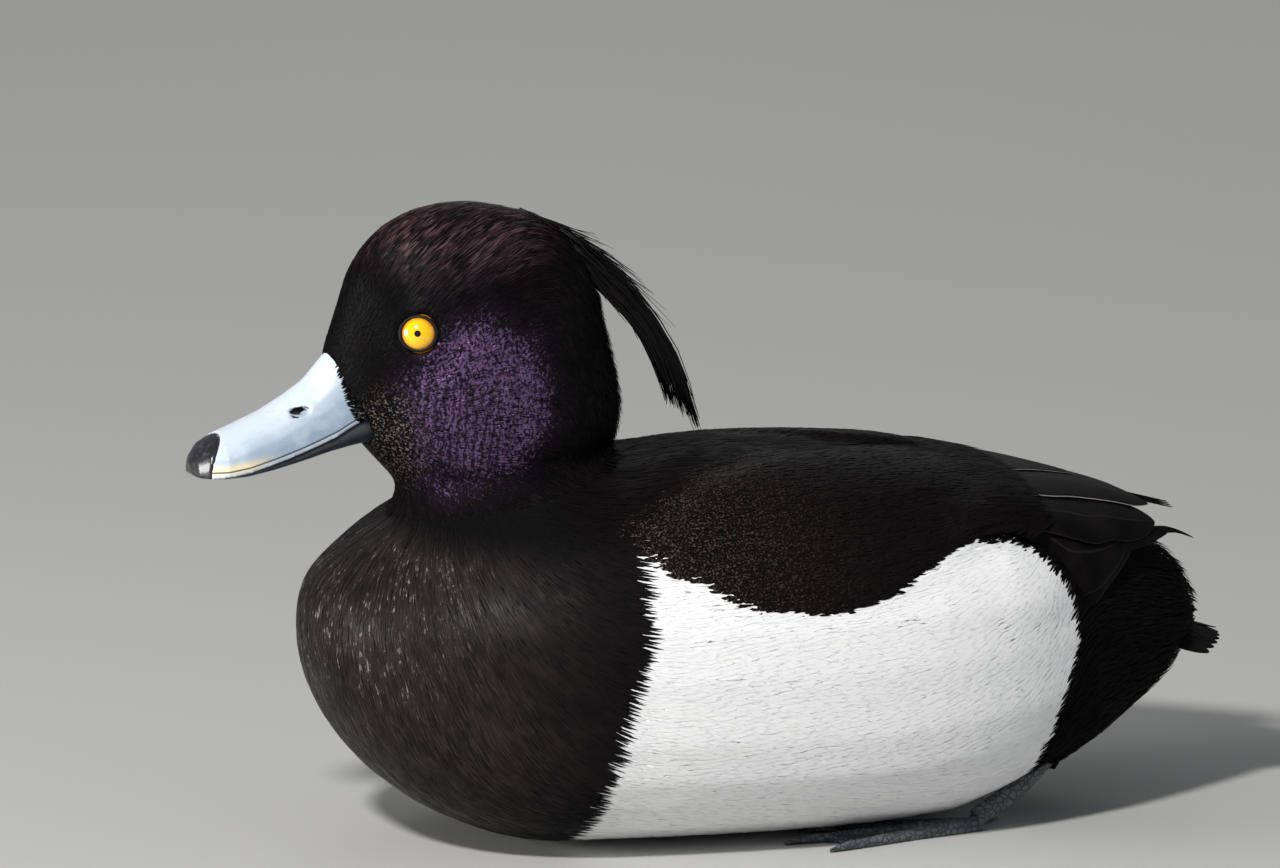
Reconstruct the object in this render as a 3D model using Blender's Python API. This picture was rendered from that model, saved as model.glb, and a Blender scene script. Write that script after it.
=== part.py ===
"""A tufted duck drake at life size, as a still museum model that sits on its belly with its feet tucked under.

Lengths are in millimetres and become metres as each mesh is made. The bird faces -X, up is +Z, its left side
is -Y and it rests on Z = 0. The origin is on the flat of the belly, on the middle line.
"""

import math
import random

import bmesh
import bpy
from mathutils import Matrix, Vector

MM = 0.001
GAP = 0.3
LEFT, RIGHT = -1, 1

# The body without its wings, from breast to stern: x, height of the widest place, reach above it, reach below
# it, half width, and how square the upper half of the section is.
BODY = (
    (-114.5, 54, 0, 0, 0, 2.1),
    (-110.5, 53, 14.5, 15, 19, 2.1),
    (-101, 51, 24.5, 29, 32.5, 2.1),
    (-86, 49, 35.2, 40.5, 46, 2.1),
    (-66, 47.5, 42.5, 47, 55.5, 2.2),
    (-42, 46.5, 46.6, 47.5, 60, 2.15),
    (-14, 46, 48.8, 47.5, 62, 2.1),
    (16, 46, 46.3, 47.5, 61.5, 2.2),
    (42, 47, 39.5, 47, 57.5, 2.5),
    (64, 48, 30, 42, 49, 2.6),
    (84, 47, 24, 32, 36.5, 2.4),
    (100, 46, 19, 20, 24.5, 2.2),
    (109.5, 44.5, 11.5, 9, 12.5, 2.1),
    (114, 43, 0, 0, 0, 2.1),
)
BELLY_SQUARENESS = 2.8
BODY_RINGS, BODY_SIDES = 31, 28

# The head seen from the side, as x and z from the bill's root over the crown to the nape and back by the chin.
HEAD_OUTLINE = (
    (-108.2, 121),
    (-105.4, 130.5),
    (-101.7, 142),
    (-94, 151),
    (-83, 155.6),
    (-70, 156),
    (-57.5, 152.6),
    (-46.5, 146),
    (-41.6, 138),
    (-38.8, 126),
    (-36, 114),
    (-34.6, 102),
    (-38, 91),
    (-52, 82),
    (-70, 79.2),
    (-84, 82),
    (-92.2, 90.5),
    (-99.6, 99),
    (-106.4, 108),
    (-109.2, 114.5),
)
CHEEK_X, CHEEK_Z = -66, 107
HEAD_HALF_WIDTH = 24
HEAD_FULLNESS = 0.86
HEAD_RINGS, HEAD_SIDES = 15, 32

# z, centre x, half length and half width of the neck.
NECK = (
    (62, -64, 38, 35),
    (74, -63.5, 32, 29),
    (84, -62.5, 28, 24),
    (93, -62, 26, 21.5),
    (100, -62, 24, 19),
)
NECK_SIDES = 28

# x, culmen height, edge height and half width of the upper bill.
UPPER_BILL = (
    (-98, 122, 107.6, 9.3),
    (-104, 121, 104.8, 9.5),
    (-108.5, 118.2, 102.4, 9.6),
    (-113, 115.2, 100.6, 9.7),
    (-118, 111.8, 98.8, 9.9),
    (-124, 108.3, 97.0, 10.4),
    (-131, 105.3, 95.2, 10.9),
    (-136.2, 103.3, 94.3, 10.3),
    (-139.8, 101.4, 93.7, 8.2),
    (-142.0, 98.9, 93.6, 5.2),
    (-143.0, 96.8, 94.2, 2.2),
)
# x, top, bottom and half width of the lower bill.
LOWER_BILL = (
    (-98, 107.2, 99.2, 8.4),
    (-104, 104.4, 98.3, 8.6),
    (-109, 101.8, 97.5, 8.9),
    (-116, 99.1, 95.9, 9.2),
    (-124, 96.7, 94.3, 9.6),
    (-131, 94.9, 93.2, 9.3),
    (-136, 94.0, 92.9, 7.4),
    (-138.6, 93.6, 92.8, 4.2),
)
BILL_SIDES = 14
NAIL_X, NAIL_HALF_LENGTH, NAIL_HALF_WIDTH = -143.5, 7.6, 8.6
NOSTRIL_X, NOSTRIL_Z, NOSTRIL_LENGTH, NOSTRIL_HEIGHT = -117.2, 108.6, 5.0, 1.9

EYE_X, EYE_Z, EYE_RADIUS, EYE_OPENING = -91, 128, 5.6, 4.1
LID_THICKNESS = 0.75

# The shield of shoulder and covert feathers: x, side of its upper edge, turn of its lower edge, lift above the body.
SHIELD = (
    (-42, 44.5, 51, 0.4),
    (-32, 35, 63, 0.8),
    (-20, 29, 69, 1.0),
    (-6, 22.5, 71.5, 1.2),
    (10, 15, 71, 1.6),
    (27, 6.5, 63.5, 2.6),
    (44, 0.7, 53, 4.4),
    (54, 0.7, 49, 3.8),
)
SHIELD_DEPTH = 4.5
SHIELD_ROWS, SHIELD_COLUMNS = 12, 7

# The cuts that part the body where its plumage changes: breast from torso, torso from stern, back from torso.
BREAST_CUT = ((-46, 0, 50), (1, 0, 0.06))
STERN_CUT = ((71, 0, 40), (1, 0, -0.12))
BACK_CUT = ((0, 0, 80), (0, 0, 1))

# The roof that the closed wings make over the stern: x, height of its ridge, side and height of its lower edge.
ROOF = (
    (16, 92.5, 57, 69),
    (30, 91, 54.5, 71),
    (44, 88.5, 49.5, 73.5),
    (60, 85, 44, 71.5),
    (69, 83, 44, 64.5),
    (76, 81.2, 41.5, 59.5),
    (83, 79.2, 35.5, 60.5),
    (91, 76.7, 28, 62.5),
    (98, 74, 21.5, 64),
    (104, 71.4, 16, 64.5),
    (112, 67.4, 11, 61.5),
    (120, 62, 9, 57),
)
ROOF_ROUNDNESS = 0.9
ROOF_BED = ((38, 118), (0, 0.97), (8.6, 3.4))
CORE = ((39, 56), (0.05, 0.9), (6.8, 2.9))
VANE_THICKNESS = 0.5
# Each tier of a closed wing: x of the roots, how far to the side the first and the last root are, how deep below the
# roof they are, half width, tilt and the tips, each as x, side and depth.
SCAPULARS = (
    (36, (9.5, 47), 1.6, 6.2, 0.12),
    ((72, 6.5, -0.9), (70, 13.5, -0.9), (67.5, 20.5, -0.9), (64.5, 27.3, -0.9), (61, 33.6, -0.9), (57, 39.4, -0.8)),
)
TERTIALS = (
    (44, (6.4, 36), 1.4, 6.2, 0.17),
    ((108.3, 4.6, 0.1), (104.5, 9.6, 0.2), (99, 15.5, 0.3), (92.5, 21.5, 0.4), (86, 28.5, 0.5)),
)
SECONDARIES = (
    (47, (31, 45.5), 2.2, 5.2, 0.19),
    ((98, 18.6, 2.2), (93, 24, 2.1), (88.5, 29, 2.0), (84, 33.2, 1.9), (79.5, 37, 1.8), (75, 40, 1.7)),
)
PRIMARIES = (
    (48, (15, 17), 5.2, 2.7, 0),
    ((101, 10.2, 1.8), (104.5, 9.8, 2.6), (108, 9.4, 3.4), (111.5, 9, 4.2)),
)

TAIL_ROOT_X, TAIL_LENGTH, TAIL_OUTER_SHARE = 90, 31, 0.7
TAIL_ROOT_HALF_WIDTH, TAIL_TIP_HALF_WIDTH = 7.5, 19
TAIL_ROOT_Z, TAIL_DROP, TAIL_ARCH, TAIL_HALF_DEPTH, TAIL_ROOM = 47.5, 11, 3.5, 1.7, 1.24
RECTRICES, RECTRIX_HALF_WIDTH, RECTRIX_TILT = 14, 3.4, 0.29

# The crest in the middle plane: upper and lower edge, from the crown to the tip.
CREST_UPPER = ((-57, 153), (-46.5, 147.2), (-36, 139.2), (-25.5, 127), (-17.5, 113.5), (-13.7, 100.4))
CREST_LOWER = ((-57.5, 150.2), (-47.5, 143.2), (-38.6, 132), (-29.6, 123), (-23.2, 111.6), (-19.8, 102))
CREST_HALF_WIDTHS = (3, 4.8, 4.3, 3.4, 2.7, 1.6)
CREST_LOCKS, LOCK_HALF_WIDTH, LOCK_HALF_THICKNESS = 11, 1.75, 0.6

FOOT_X, FOOT_Y, FOOT_LENGTH, WEB_THICKNESS = 46, 35, 50, 1.2
TOE_ANGLES, TOE_LENGTHS = (-15, 2, 18), (0.86, 1.0, 0.9)
TOE_RADIUS = 1.9
TARSUS = ((46, 35, 3.0), (57, 33.5, 9), (67, 31, 17))
TARSUS_RADIUS = 2.5
HIND_TOE, HIND_TOE_RADII = ((0, 2, 2.2), (5, 6, 1.3), (9, 9, 0.6)), (1.5, 1.2, 0.5)

BLACK = (0.012, 0.011, 0.013)
GLOSSY_PURPLE = (0.030, 0.014, 0.040)
BROWN_BLACK = (0.022, 0.018, 0.016)
WHITE = (0.85, 0.85, 0.84)
BILL_BLUE = (0.50, 0.59, 0.68)
NAIL_BLACK = (0.02, 0.02, 0.025)
EYE_YELLOW = (0.95, 0.55, 0.01)
LEG_GREY = (0.16, 0.18, 0.21)


def clear_scene():
    for obj in list(bpy.data.objects):
        bpy.data.objects.remove(obj)
    for collection in list(bpy.data.collections):
        bpy.data.collections.remove(collection)


def new_collection(name):
    made = bpy.data.collections.new(name)
    bpy.context.scene.collection.children.link(made)
    return made


def material(name, colour, roughness):
    made = bpy.data.materials.new(name)
    made.use_nodes = True
    shader = made.node_tree.nodes["Principled BSDF"]
    shader.inputs["Base Color"].default_value = (*colour, 1)
    shader.inputs["Roughness"].default_value = roughness
    shader.inputs["Metallic"].default_value = 0
    return made


def mix(a, b, share):
    return a + (b - a) * share


def along(rows, place, ends=None):
    """The row at a place along rows, where 0 is the first, on a Catmull-Rom curve. ends gives the rows beyond."""
    i = max(0, min(int(place), len(rows) - 2))
    f = place - i
    before, after = ends or (
        [2 * a - b for a, b in zip(rows[0], rows[1])],
        [2 * a - b for a, b in zip(rows[-1], rows[-2])],
    )
    four = (rows[i - 1] if i else before, rows[i], rows[i + 1], rows[i + 2] if i + 2 < len(rows) else after)
    return [
        0.5 * (2 * b + (c - a) * f + (2 * a - 5 * b + 4 * c - d) * f**2 + (3 * b - a - 3 * c + d) * f**3)
        for a, b, c, d in zip(*four)
    ]


def place_of(rows, x, ends=None):
    """The place along rows where their first value is x."""
    low, high = 0.0, len(rows) - 1.0
    for _ in range(30):
        middle = (low + high) / 2
        value = along(rows, middle, ends)[0]
        if (value < x) == (rows[-1][0] > rows[0][0]):
            low = middle
        else:
            high = middle
    return (low + high) / 2


def rounded_end(row):
    """The row past a pole, which makes the body end in a dome."""
    x, widest, above, below, side, squareness = row
    return (x, widest, -above, -below, -side, squareness)


BODY_ENDS = (rounded_end(BODY[1]), rounded_end(BODY[-2]))


def power(value, exponent):
    return math.copysign(abs(value) ** exponent, value)


def body_surface(place, turn):
    """A point of the body, at a turn in degrees from the back ridge, positive to the right."""
    x, widest, above, below, side, squareness = along(BODY, place, BODY_ENDS)
    sine, cosine = math.sin(math.radians(turn)), math.cos(math.radians(turn))
    round_by = 2 / (squareness if cosine > 0 else BELLY_SQUARENESS)
    reach = above if cosine > 0 else below
    return Vector((x, side * power(sine, round_by), widest + reach * power(cosine, round_by)))


def body_point(place, turn, lift=0.0):
    point = body_surface(place, turn)
    if lift:
        forward = body_surface(place + 0.03, turn) - body_surface(place - 0.03, turn)
        around = body_surface(place, turn + 1.5) - body_surface(place, turn - 1.5)
        point += forward.cross(around).normalized() * lift
    return point


def turn_at_side(place, side):
    """The turn where the body's upper half is this far from the middle plane."""
    row = along(BODY, place, BODY_ENDS)
    return math.degrees(math.asin(min(1, side / row[4]) ** (row[5] / 2)))


def roof_surface(x, around):
    """A point of the roof of wings, where around runs from the ridge (0) to the lower edge (1)."""
    _, ridge, side, edge = along(ROOF, place_of(ROOF, x))
    sine, cosine = math.sin(around * math.pi / 2), math.cos(around * math.pi / 2)
    return Vector((x, side * power(sine, ROOF_ROUNDNESS), edge + (ridge - edge) * power(cosine, ROOF_ROUNDNESS)))


def roof_around(x, side):
    """The way round the roof to the place this far from the middle plane."""
    widest = along(ROOF, place_of(ROOF, x))[2]
    return math.asin(min(0.995, side / widest) ** (1 / ROOF_ROUNDNESS)) / (math.pi / 2)


def roof_frame(x, around):
    """The point of the roof with the ways that lead round it and out of it, on the right side."""
    point = roof_surface(x, around)
    lengthwise = roof_surface(x + 1, around) - roof_surface(x - 1, around)
    low, high = max(around - 0.03, 0.01), min(max(around, 0.02) + 0.03, 0.99)
    sideways = (roof_surface(x, high) - roof_surface(x, low)).normalized()
    return point, sideways, lengthwise.cross(sideways).normalized()


def on_side(point, side):
    return Vector((point.x, point.y * side, point.z))


def mesh_object(name, points, faces, finish=None):
    mesh = bpy.data.meshes.new(name)
    mesh.from_pydata([tuple(Vector(p) * MM) for p in points], [], faces)
    mesh.validate()
    work = bmesh.new()
    work.from_mesh(mesh)
    bmesh.ops.remove_doubles(work, verts=work.verts, dist=1e-6)
    bmesh.ops.recalc_face_normals(work, faces=work.faces)
    work.to_mesh(mesh)
    work.free()
    obj = bpy.data.objects.new(name, mesh)
    bpy.context.scene.collection.objects.link(obj)
    if finish:
        mesh.materials.append(finish)
    return obj


def loft(name, rings, poles=(None, None), finish=None):
    """A closed skin over rings with the same number of points, ended by a pole point or a flat cap."""
    size = len(rings[0])
    points = [p for ring in rings for p in ring]
    faces = []
    for i in range(len(rings) - 1):
        for j in range(size):
            k = (j + 1) % size
            faces.append((i * size + j, i * size + k, (i + 1) * size + k, (i + 1) * size + j))
    for pole, first in zip(poles, (0, (len(rings) - 1) * size)):
        if pole is None:
            faces.append(tuple(range(first, first + size)))
            continue
        points.append(pole)
        faces += [(len(points) - 1, first + j, first + (j + 1) % size) for j in range(size)]
    return mesh_object(name, points, faces, finish)


def slab(name, top, bottom, finish=None):
    """A closed solid between two grids of points, split alike on both faces."""
    rows, columns = len(top), len(top[0])
    points = [p for grid in (top, bottom) for row in grid for p in row]
    faces = []
    for base in (0, rows * columns):
        for i in range(rows - 1):
            for j in range(columns - 1):
                a = base + i * columns + j
                b, c, d = a + 1, a + columns + 1, a + columns
                faces += [(a, b, c), (a, c, d)] if j < columns // 2 else [(a, b, d), (b, c, d)]
    rim = [(0, j) for j in range(columns)] + [(i, columns - 1) for i in range(1, rows)]
    rim += [(rows - 1, j) for j in range(columns - 2, -1, -1)] + [(i, 0) for i in range(rows - 2, 0, -1)]
    for (i, j), (k, m) in zip(rim, rim[1:] + rim[:1]):
        a, b = i * columns + j, k * columns + m
        faces.append((a, b, rows * columns + b, rows * columns + a))
    return mesh_object(name, points, faces, finish)


def combine(target, others, operation):
    """Joins the others to the target, or cuts them from it, and removes them."""
    pieces = bpy.data.collections.new(target.name + " pieces")
    bpy.context.scene.collection.children.link(pieces)
    for other in others:
        bpy.context.scene.collection.objects.unlink(other)
        pieces.objects.link(other)
    modifier = target.modifiers.new(operation, "BOOLEAN")
    modifier.operation = operation
    modifier.operand_type = "COLLECTION"
    modifier.collection = pieces
    settle(target)
    for other in others:
        bpy.data.objects.remove(other)
    bpy.data.collections.remove(pieces)


def settle(obj):
    """Applies the modifiers and keeps the largest closed surface."""
    bpy.context.view_layer.update()
    graph = bpy.context.evaluated_depsgraph_get()
    mesh = bpy.data.meshes.new_from_object(obj.evaluated_get(graph))
    obj.modifiers.clear()
    obj.data = mesh
    work = bmesh.new()
    work.from_mesh(mesh)
    bmesh.ops.remove_doubles(work, verts=work.verts, dist=2e-7)
    bmesh.ops.triangulate(work, faces=work.faces)
    unseen, shells = set(work.faces), []
    while unseen:
        shell, edge = set(), [unseen.pop()]
        while edge:
            face = edge.pop()
            shell.add(face)
            near = {f for side in face.edges for f in side.link_faces} & unseen
            unseen -= near
            edge += near
        shells.append(shell)
    shells.sort(key=volume_of, reverse=True)
    spare = [face for shell in shells[1:] for face in shell]
    bmesh.ops.delete(work, geom=spare, context="FACES")
    work.to_mesh(mesh)
    work.free()


def volume_of(shell):
    return sum(f.verts[0].co.dot(f.verts[1].co.cross(f.verts[2].co)) for f in shell) / 6


def half_space(point, normal, clear=GAP / 2):
    """A large block that fills the side of a plane that the normal points to, this far clear of it."""
    size = 400
    normal = Vector(normal).normalized()
    bpy.ops.mesh.primitive_cube_add(size=size * MM)
    block = bpy.context.active_object
    centre = (Vector(point) + normal * (size / 2 + clear)) * MM
    turn = normal.to_track_quat("Z", "Y").to_matrix().to_4x4()
    block.data.transform(Matrix.Translation(centre) @ turn)
    return block


def part_of(whole, name, cuts, finish):
    """The part of a mesh that lies on the given sides of planes."""
    obj = bpy.data.objects.new(name, whole.data.copy())
    bpy.context.scene.collection.objects.link(obj)
    obj.data.materials.clear()
    obj.data.materials.append(finish)
    for (point, normal), side in cuts:
        combine(obj, [half_space(point, Vector(normal) * side)], "INTERSECT")
    return obj


def body_form():
    """The whole body from breast to stern, flat where it rests."""
    last = len(BODY) - 1
    rings = []
    for i in range(1, BODY_RINGS):
        place = last * i / BODY_RINGS
        ring = [body_surface(place, 360 * j / BODY_SIDES) for j in range(BODY_SIDES)]
        rings.append([Vector((p.x, p.y, max(p.z, 0))) for p in ring])
    poles = (body_surface(0, 0), body_surface(last, 0))
    return loft("body", rings, poles)


def head_outline(place):
    rows = HEAD_OUTLINE
    wrapped = [rows[(int(place) + k) % len(rows)] for k in (-1, 0, 1, 2)]
    return along(wrapped[1:3], place - int(place), (wrapped[0], wrapped[3]))


def head_surface(place, tilt):
    """A point of the head, at a place along its outline and a tilt in degrees from the middle plane."""
    x, z = head_outline(place % len(HEAD_OUTLINE))
    share = math.cos(math.radians(tilt)) ** HEAD_FULLNESS
    side = HEAD_HALF_WIDTH * math.sin(math.radians(tilt))
    return Vector((mix(CHEEK_X, x, share), side, mix(CHEEK_Z, z, share)))


def head_point(place, tilt, lift=0.0):
    point = head_surface(place, tilt)
    if lift:
        outward = head_surface(place + 0.05, tilt) - head_surface(place - 0.05, tilt)
        sideways = head_surface(place, tilt + 2) - head_surface(place, tilt - 2)
        point += outward.cross(sideways).normalized() * lift
    return point


def head_form(lift=0.0):
    rings = []
    for i in range(1, HEAD_RINGS + 1):
        tilt = -90 + 180 * i / (HEAD_RINGS + 1)
        rings.append(
            [head_point(len(HEAD_OUTLINE) * j / HEAD_SIDES, tilt, lift) for j in range(HEAD_SIDES)]
        )
    side = HEAD_HALF_WIDTH + lift
    return loft("head", rings, ((CHEEK_X, -side, CHEEK_Z), (CHEEK_X, side, CHEEK_Z)))


def head_place(x, z):
    """The place and tilt of the head's surface at this x and z, on its right side."""
    aim = math.atan2(z - CHEEK_Z, x - CHEEK_X)
    steps = [k / 40 for k in range(40 * len(HEAD_OUTLINE))]

    def miss(place):
        ox, oz = head_outline(place)
        return abs(math.remainder(math.atan2(oz - CHEEK_Z, ox - CHEEK_X) - aim, math.tau))

    place = min(steps, key=miss)
    ox, oz = head_outline(place)
    share = math.dist((x, z), (CHEEK_X, CHEEK_Z)) / math.dist((ox, oz), (CHEEK_X, CHEEK_Z))
    return place, math.degrees(math.acos(share ** (1 / HEAD_FULLNESS)))


def neck_form(lift=0.0):
    rings = []
    for z, x, length, width in NECK:
        ring = []
        for j in range(NECK_SIDES):
            angle = math.tau * j / NECK_SIDES
            ring.append((x + (length + lift) * math.cos(angle), (width + lift) * math.sin(angle), z))
        rings.append(ring)
    bottom, top = rings[0], rings[-1]
    rings[0] = [(x, y, z - lift) for x, y, z in bottom]
    rings[-1] = [(x, y, z + lift) for x, y, z in top]
    return loft("neck", rings)


def upper_bill_form(lift=0.0):
    rings = []
    for x, culmen, edge, width in UPPER_BILL:
        ring = []
        for j in range(BILL_SIDES + 1):
            angle = math.pi * j / BILL_SIDES
            height = (culmen + lift - (edge - lift)) * math.sin(angle) ** 0.85
            ring.append((x, (width + lift) * math.cos(angle), edge - lift + height))
        rings.append(ring)
    rings[0] = [(x + lift, y, z) for x, y, z in rings[0]]
    return loft("upper_bill", rings)


def lower_bill_form(lift=0.0):
    rings = []
    for x, top, bottom, width in LOWER_BILL:
        ring = []
        for j in range(BILL_SIDES + 1):
            angle = math.pi * j / BILL_SIDES
            depth = (top - bottom + 2 * lift) * math.sin(angle) ** 0.7
            ring.append((x, (width + lift) * math.cos(angle), top + lift - depth))
        rings.append(ring)
    rings[0] = [(x + lift, y, z) for x, y, z in rings[0]]
    return loft("lower_bill", rings)


def ball(name, centre, radius, segments=16, rings=10):
    bpy.ops.mesh.primitive_uv_sphere_add(segments=segments, ring_count=rings, radius=radius * MM)
    obj = bpy.context.active_object
    obj.name = name
    obj.data.transform(Matrix.Translation(Vector(centre) * MM))
    return obj


def pillar(name, centre, half_sizes, height, sides=28, axis="Z"):
    """An elliptical cylinder about a centre, along Z or Y."""
    bpy.ops.mesh.primitive_cylinder_add(vertices=sides, radius=MM, depth=height * MM)
    obj = bpy.context.active_object
    obj.name = name
    turn = Matrix.Identity(4) if axis == "Z" else Matrix.Rotation(math.pi / 2, 4, "X")
    scale = Matrix.Diagonal((half_sizes[0], half_sizes[1], 1, 1))
    obj.data.transform(Matrix.Translation(Vector(centre) * MM) @ turn @ scale)
    return obj


def eye_seat(side):
    """The centre of the eyeball and the way it looks."""
    place, tilt = head_place(EYE_X, EYE_Z)
    surface = head_point(place, tilt * side)
    outward = (head_point(place, tilt * side, 1.0) - surface).normalized()
    sunk = math.sqrt(EYE_RADIUS**2 - EYE_OPENING**2)
    return surface - outward * sunk, outward


def lid_ring(side):
    """The swollen rim round the eye, a ring that hugs the head."""
    centre, outward = eye_seat(side)
    middle = centre + outward * (math.sqrt(EYE_RADIUS**2 - EYE_OPENING**2) + 0.1)
    bpy.ops.mesh.primitive_torus_add(
        major_segments=18,
        minor_segments=5,
        major_radius=(EYE_OPENING + 0.55) * MM,
        minor_radius=LID_THICKNESS * MM,
    )
    obj = bpy.context.active_object
    turn = outward.to_track_quat("Z", "Y").to_matrix().to_4x4()
    obj.data.transform(Matrix.Translation(middle * MM) @ turn)
    return obj


def crest_path(share, across):
    """A point of the crest: share runs from crown to tip, across from its lower (0) to its upper edge (1)."""
    place = share * (len(CREST_UPPER) - 1)
    low, high = along(CREST_LOWER, place), along(CREST_UPPER, place)
    return Vector((mix(low[0], high[0], across), 0, mix(low[1], high[1], across)))


def crest_room():
    """The room that the head leaves for the crest where it lies on the nape."""
    rings, sides, steps = [], 8, 6
    for i in range(steps):
        share = mix(-0.03, 0.62, i / (steps - 1))
        low, high = crest_path(share, 0), crest_path(share, 1)
        width = along([(w,) for w in CREST_HALF_WIDTHS], max(0, share) * (len(CREST_HALF_WIDTHS) - 1))[0] + 2 * GAP
        middle, half = (low + high) / 2, (high - low) / 2
        half += half.normalized() * 6 * GAP
        rings.append(
            [
                middle + half * math.cos(math.tau * j / sides)
                + Vector((0, width * math.sin(math.tau * j / sides), 0))
                for j in range(sides)
            ]
        )
    return loft("crest_room", rings)


def crest_lock(index):
    """One narrow, tapering lock of the crest, which bends with the others and ends on its own."""
    draw = random.Random(40 + index)
    start, end = (index * 0.618 + 0.1) % 1, draw.uniform(0, 1)
    length = mix(0.8, 1.01, (index * 0.377) % 1)
    side = math.sin(index * 2.4)
    rings, steps = [], 6
    for i in range(steps):
        share = mix(0, length, i / (steps - 1))
        place = share * (len(CREST_HALF_WIDTHS) - 1)
        spread = along([(w,) for w in CREST_HALF_WIDTHS], place)[0] - 1.2
        across = mix(mix(0.22, 0.78, start), mix(0.03, 0.97, end), share)
        aside = side * spread * math.sqrt(1 - (2 * across - 1) ** 2)
        centre = crest_path(share, across) + Vector((0, aside, 0))
        along_way = (crest_path(min(share + 0.02, 1.02), across) - crest_path(share - 0.02, across)).normalized()
        upright = Vector((-along_way.z, 0, along_way.x))
        taper = math.sin(math.pi * mix(0.36, 0.985, i / (steps - 1))) ** 0.8
        wide, thick = LOCK_HALF_WIDTH * taper, LOCK_HALF_THICKNESS * max(taper, 0.45)
        twist = 0.5 * side + 0.35 * math.sin(index * 1.7)
        flat = upright * math.cos(twist) + Vector((0, math.sin(twist), 0))
        thin = Vector((0, math.cos(twist), 0)) - upright * math.sin(twist)
        rings.append([centre + flat * wide, centre + thin * thick, centre - flat * wide, centre - thin * thick])
    return loft("lock", rings)


def crest_seat(lift=0.0):
    """The patch of crown that the crest grows from."""
    rows, columns = 6, 5
    first, last, spread = 5.9, 8.0, 11
    margin = lift / 12
    top, bottom = [], []
    for i in range(rows):
        place = mix(first - margin, last + margin, i / (rows - 1))
        widest = spread * mix(0.3, 1, math.sin(math.pi * i / (rows - 1)) ** 0.6) + lift * 2.4
        tilts = [mix(-widest, widest, j / (columns - 1)) for j in range(columns)]
        edge = [0.1 if i in (0, rows - 1) or j in (0, columns - 1) else 0.5 for j in range(columns)]
        top.append([head_point(place, t, e + lift) for t, e in zip(tilts, edge)])
        bottom.append([head_point(place, t, -2.6 - lift) for t in tilts])
    return slab("crest_seat", top, bottom)


def shield_row(x):
    return along(SHIELD, place_of(SHIELD, x))


def shield_form(side, lift=0.0):
    """The shoulder and covert feathers of one side as a shield that lies in a shallow bed of the body."""
    top, bottom = [], []
    first, last = SHIELD[0][0] - lift, SHIELD[-1][0] + lift
    for i in range(SHIELD_ROWS):
        x = mix(first, last, i / (SHIELD_ROWS - 1))
        inner_edge, low_turn, raised = shield_row(x)[1:]
        place = place_of(BODY, x, BODY_ENDS)
        turns = [
            mix(turn_at_side(place, inner_edge - lift), low_turn + lift, j / (SHIELD_COLUMNS - 1))
            for j in range(SHIELD_COLUMNS)
        ]
        depth = SHIELD_DEPTH * (1 - max(0, min(1, (x - 34) / 16)))
        row_top, row_bottom = [], []
        for j, turn in enumerate(turns):
            share = j / (SHIELD_COLUMNS - 1)
            crown = raised * (1 - share**3 * 0.75)
            row_top.append(body_point(place, side * turn, crown + lift * 8))
            row_bottom.append(body_point(place, side * turn, min(GAP, crown - 1) - depth - lift))
        top.append(row_top)
        bottom.append(row_bottom)
    return slab("shield", top, bottom)


def vane(stations, thickness=VANE_THICKNESS):
    """A flat feather over stations of point, half width, way across, way out and tilt, thinner towards its tip."""
    top, bottom = [], []
    last = len(stations) - 1
    for i, (point, half_width, across, outward, tilt) in enumerate(stations):
        depth = thickness * (0.5 if i < last else 0.28)
        row_top, row_bottom = [], []
        for u in (-1, 0, 1):
            middle = point + across * (half_width * u) + outward * (half_width * (tilt * u - 0.05 * u * u))
            row_top.append(middle + outward * depth)
            row_bottom.append(middle - outward * depth)
        top.append(row_top)
        bottom.append(row_bottom)
    return slab("vane", top, bottom)


# The outlines of feathers: share of the length and of the half width.
BLUNT = ((0, 0.6), (0.35, 0.95), (0.72, 1), (0.92, 0.66), (1, 0.18))
ROUND = ((0, 0.6), (0.55, 1), (0.86, 0.8), (1, 0.22))
POINTED = ((0, 0.6), (0.3, 1), (0.65, 0.9), (0.9, 0.5), (1, 0.1))


def wing_tier(side, tier, outline):
    """One tier of feathers that follow the roof from their roots to their tips."""
    (root_x, root_sides, root_depth, half_width, tilt), tips = tier
    feathers = []
    for i, (tip_x, tip_side, depth) in enumerate(tips):
        root_side = mix(*root_sides, i / (len(tips) - 1))
        stations = []
        for share, width in outline:
            x = mix(root_x, tip_x, share)
            point, across, outward = roof_frame(x, roof_around(x, mix(root_side, tip_side, share)))
            half = min(half_width * width, abs(point.y - 0.3) / across.y)
            middle = on_side(point - outward * mix(root_depth, depth, min(1, share * 1.6)), side)
            stations.append((middle, half, on_side(across, side), on_side(outward, side), tilt))
        feathers.append(vane(stations))
    return feathers


def roof_slab(side, xs, arounds, depths, height, rows, columns):
    """A block that follows the roof from a depth below it, less towards the lower edge, to a height above it."""
    top, bottom = [], []
    for i in range(rows):
        x = mix(*xs, i / (rows - 1))
        row_top, row_bottom = [], []
        for j in range(columns):
            around = mix(*arounds, j / (columns - 1))
            point, _, outward = roof_frame(x, around)
            row_top.append(on_side(point + outward * height, side))
            row_bottom.append(on_side(point - outward * mix(*depths, around**2), side))
        top.append(row_top)
        bottom.append(row_bottom)
    return slab("roof_slab", top, bottom)


def tail_point(reach, across, lift=0.0):
    """A point of the tail fan: reach runs from root to tip, across from -1 (left) to 1."""
    length = TAIL_LENGTH * mix(1, TAIL_OUTER_SHARE, across**2)
    half_width = mix(TAIL_ROOT_HALF_WIDTH, TAIL_TIP_HALF_WIDTH, reach)
    z = TAIL_ROOT_Z - TAIL_DROP * reach - TAIL_ARCH * across**2
    return Vector((TAIL_ROOT_X + length * reach, half_width * across, z + lift))


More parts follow.
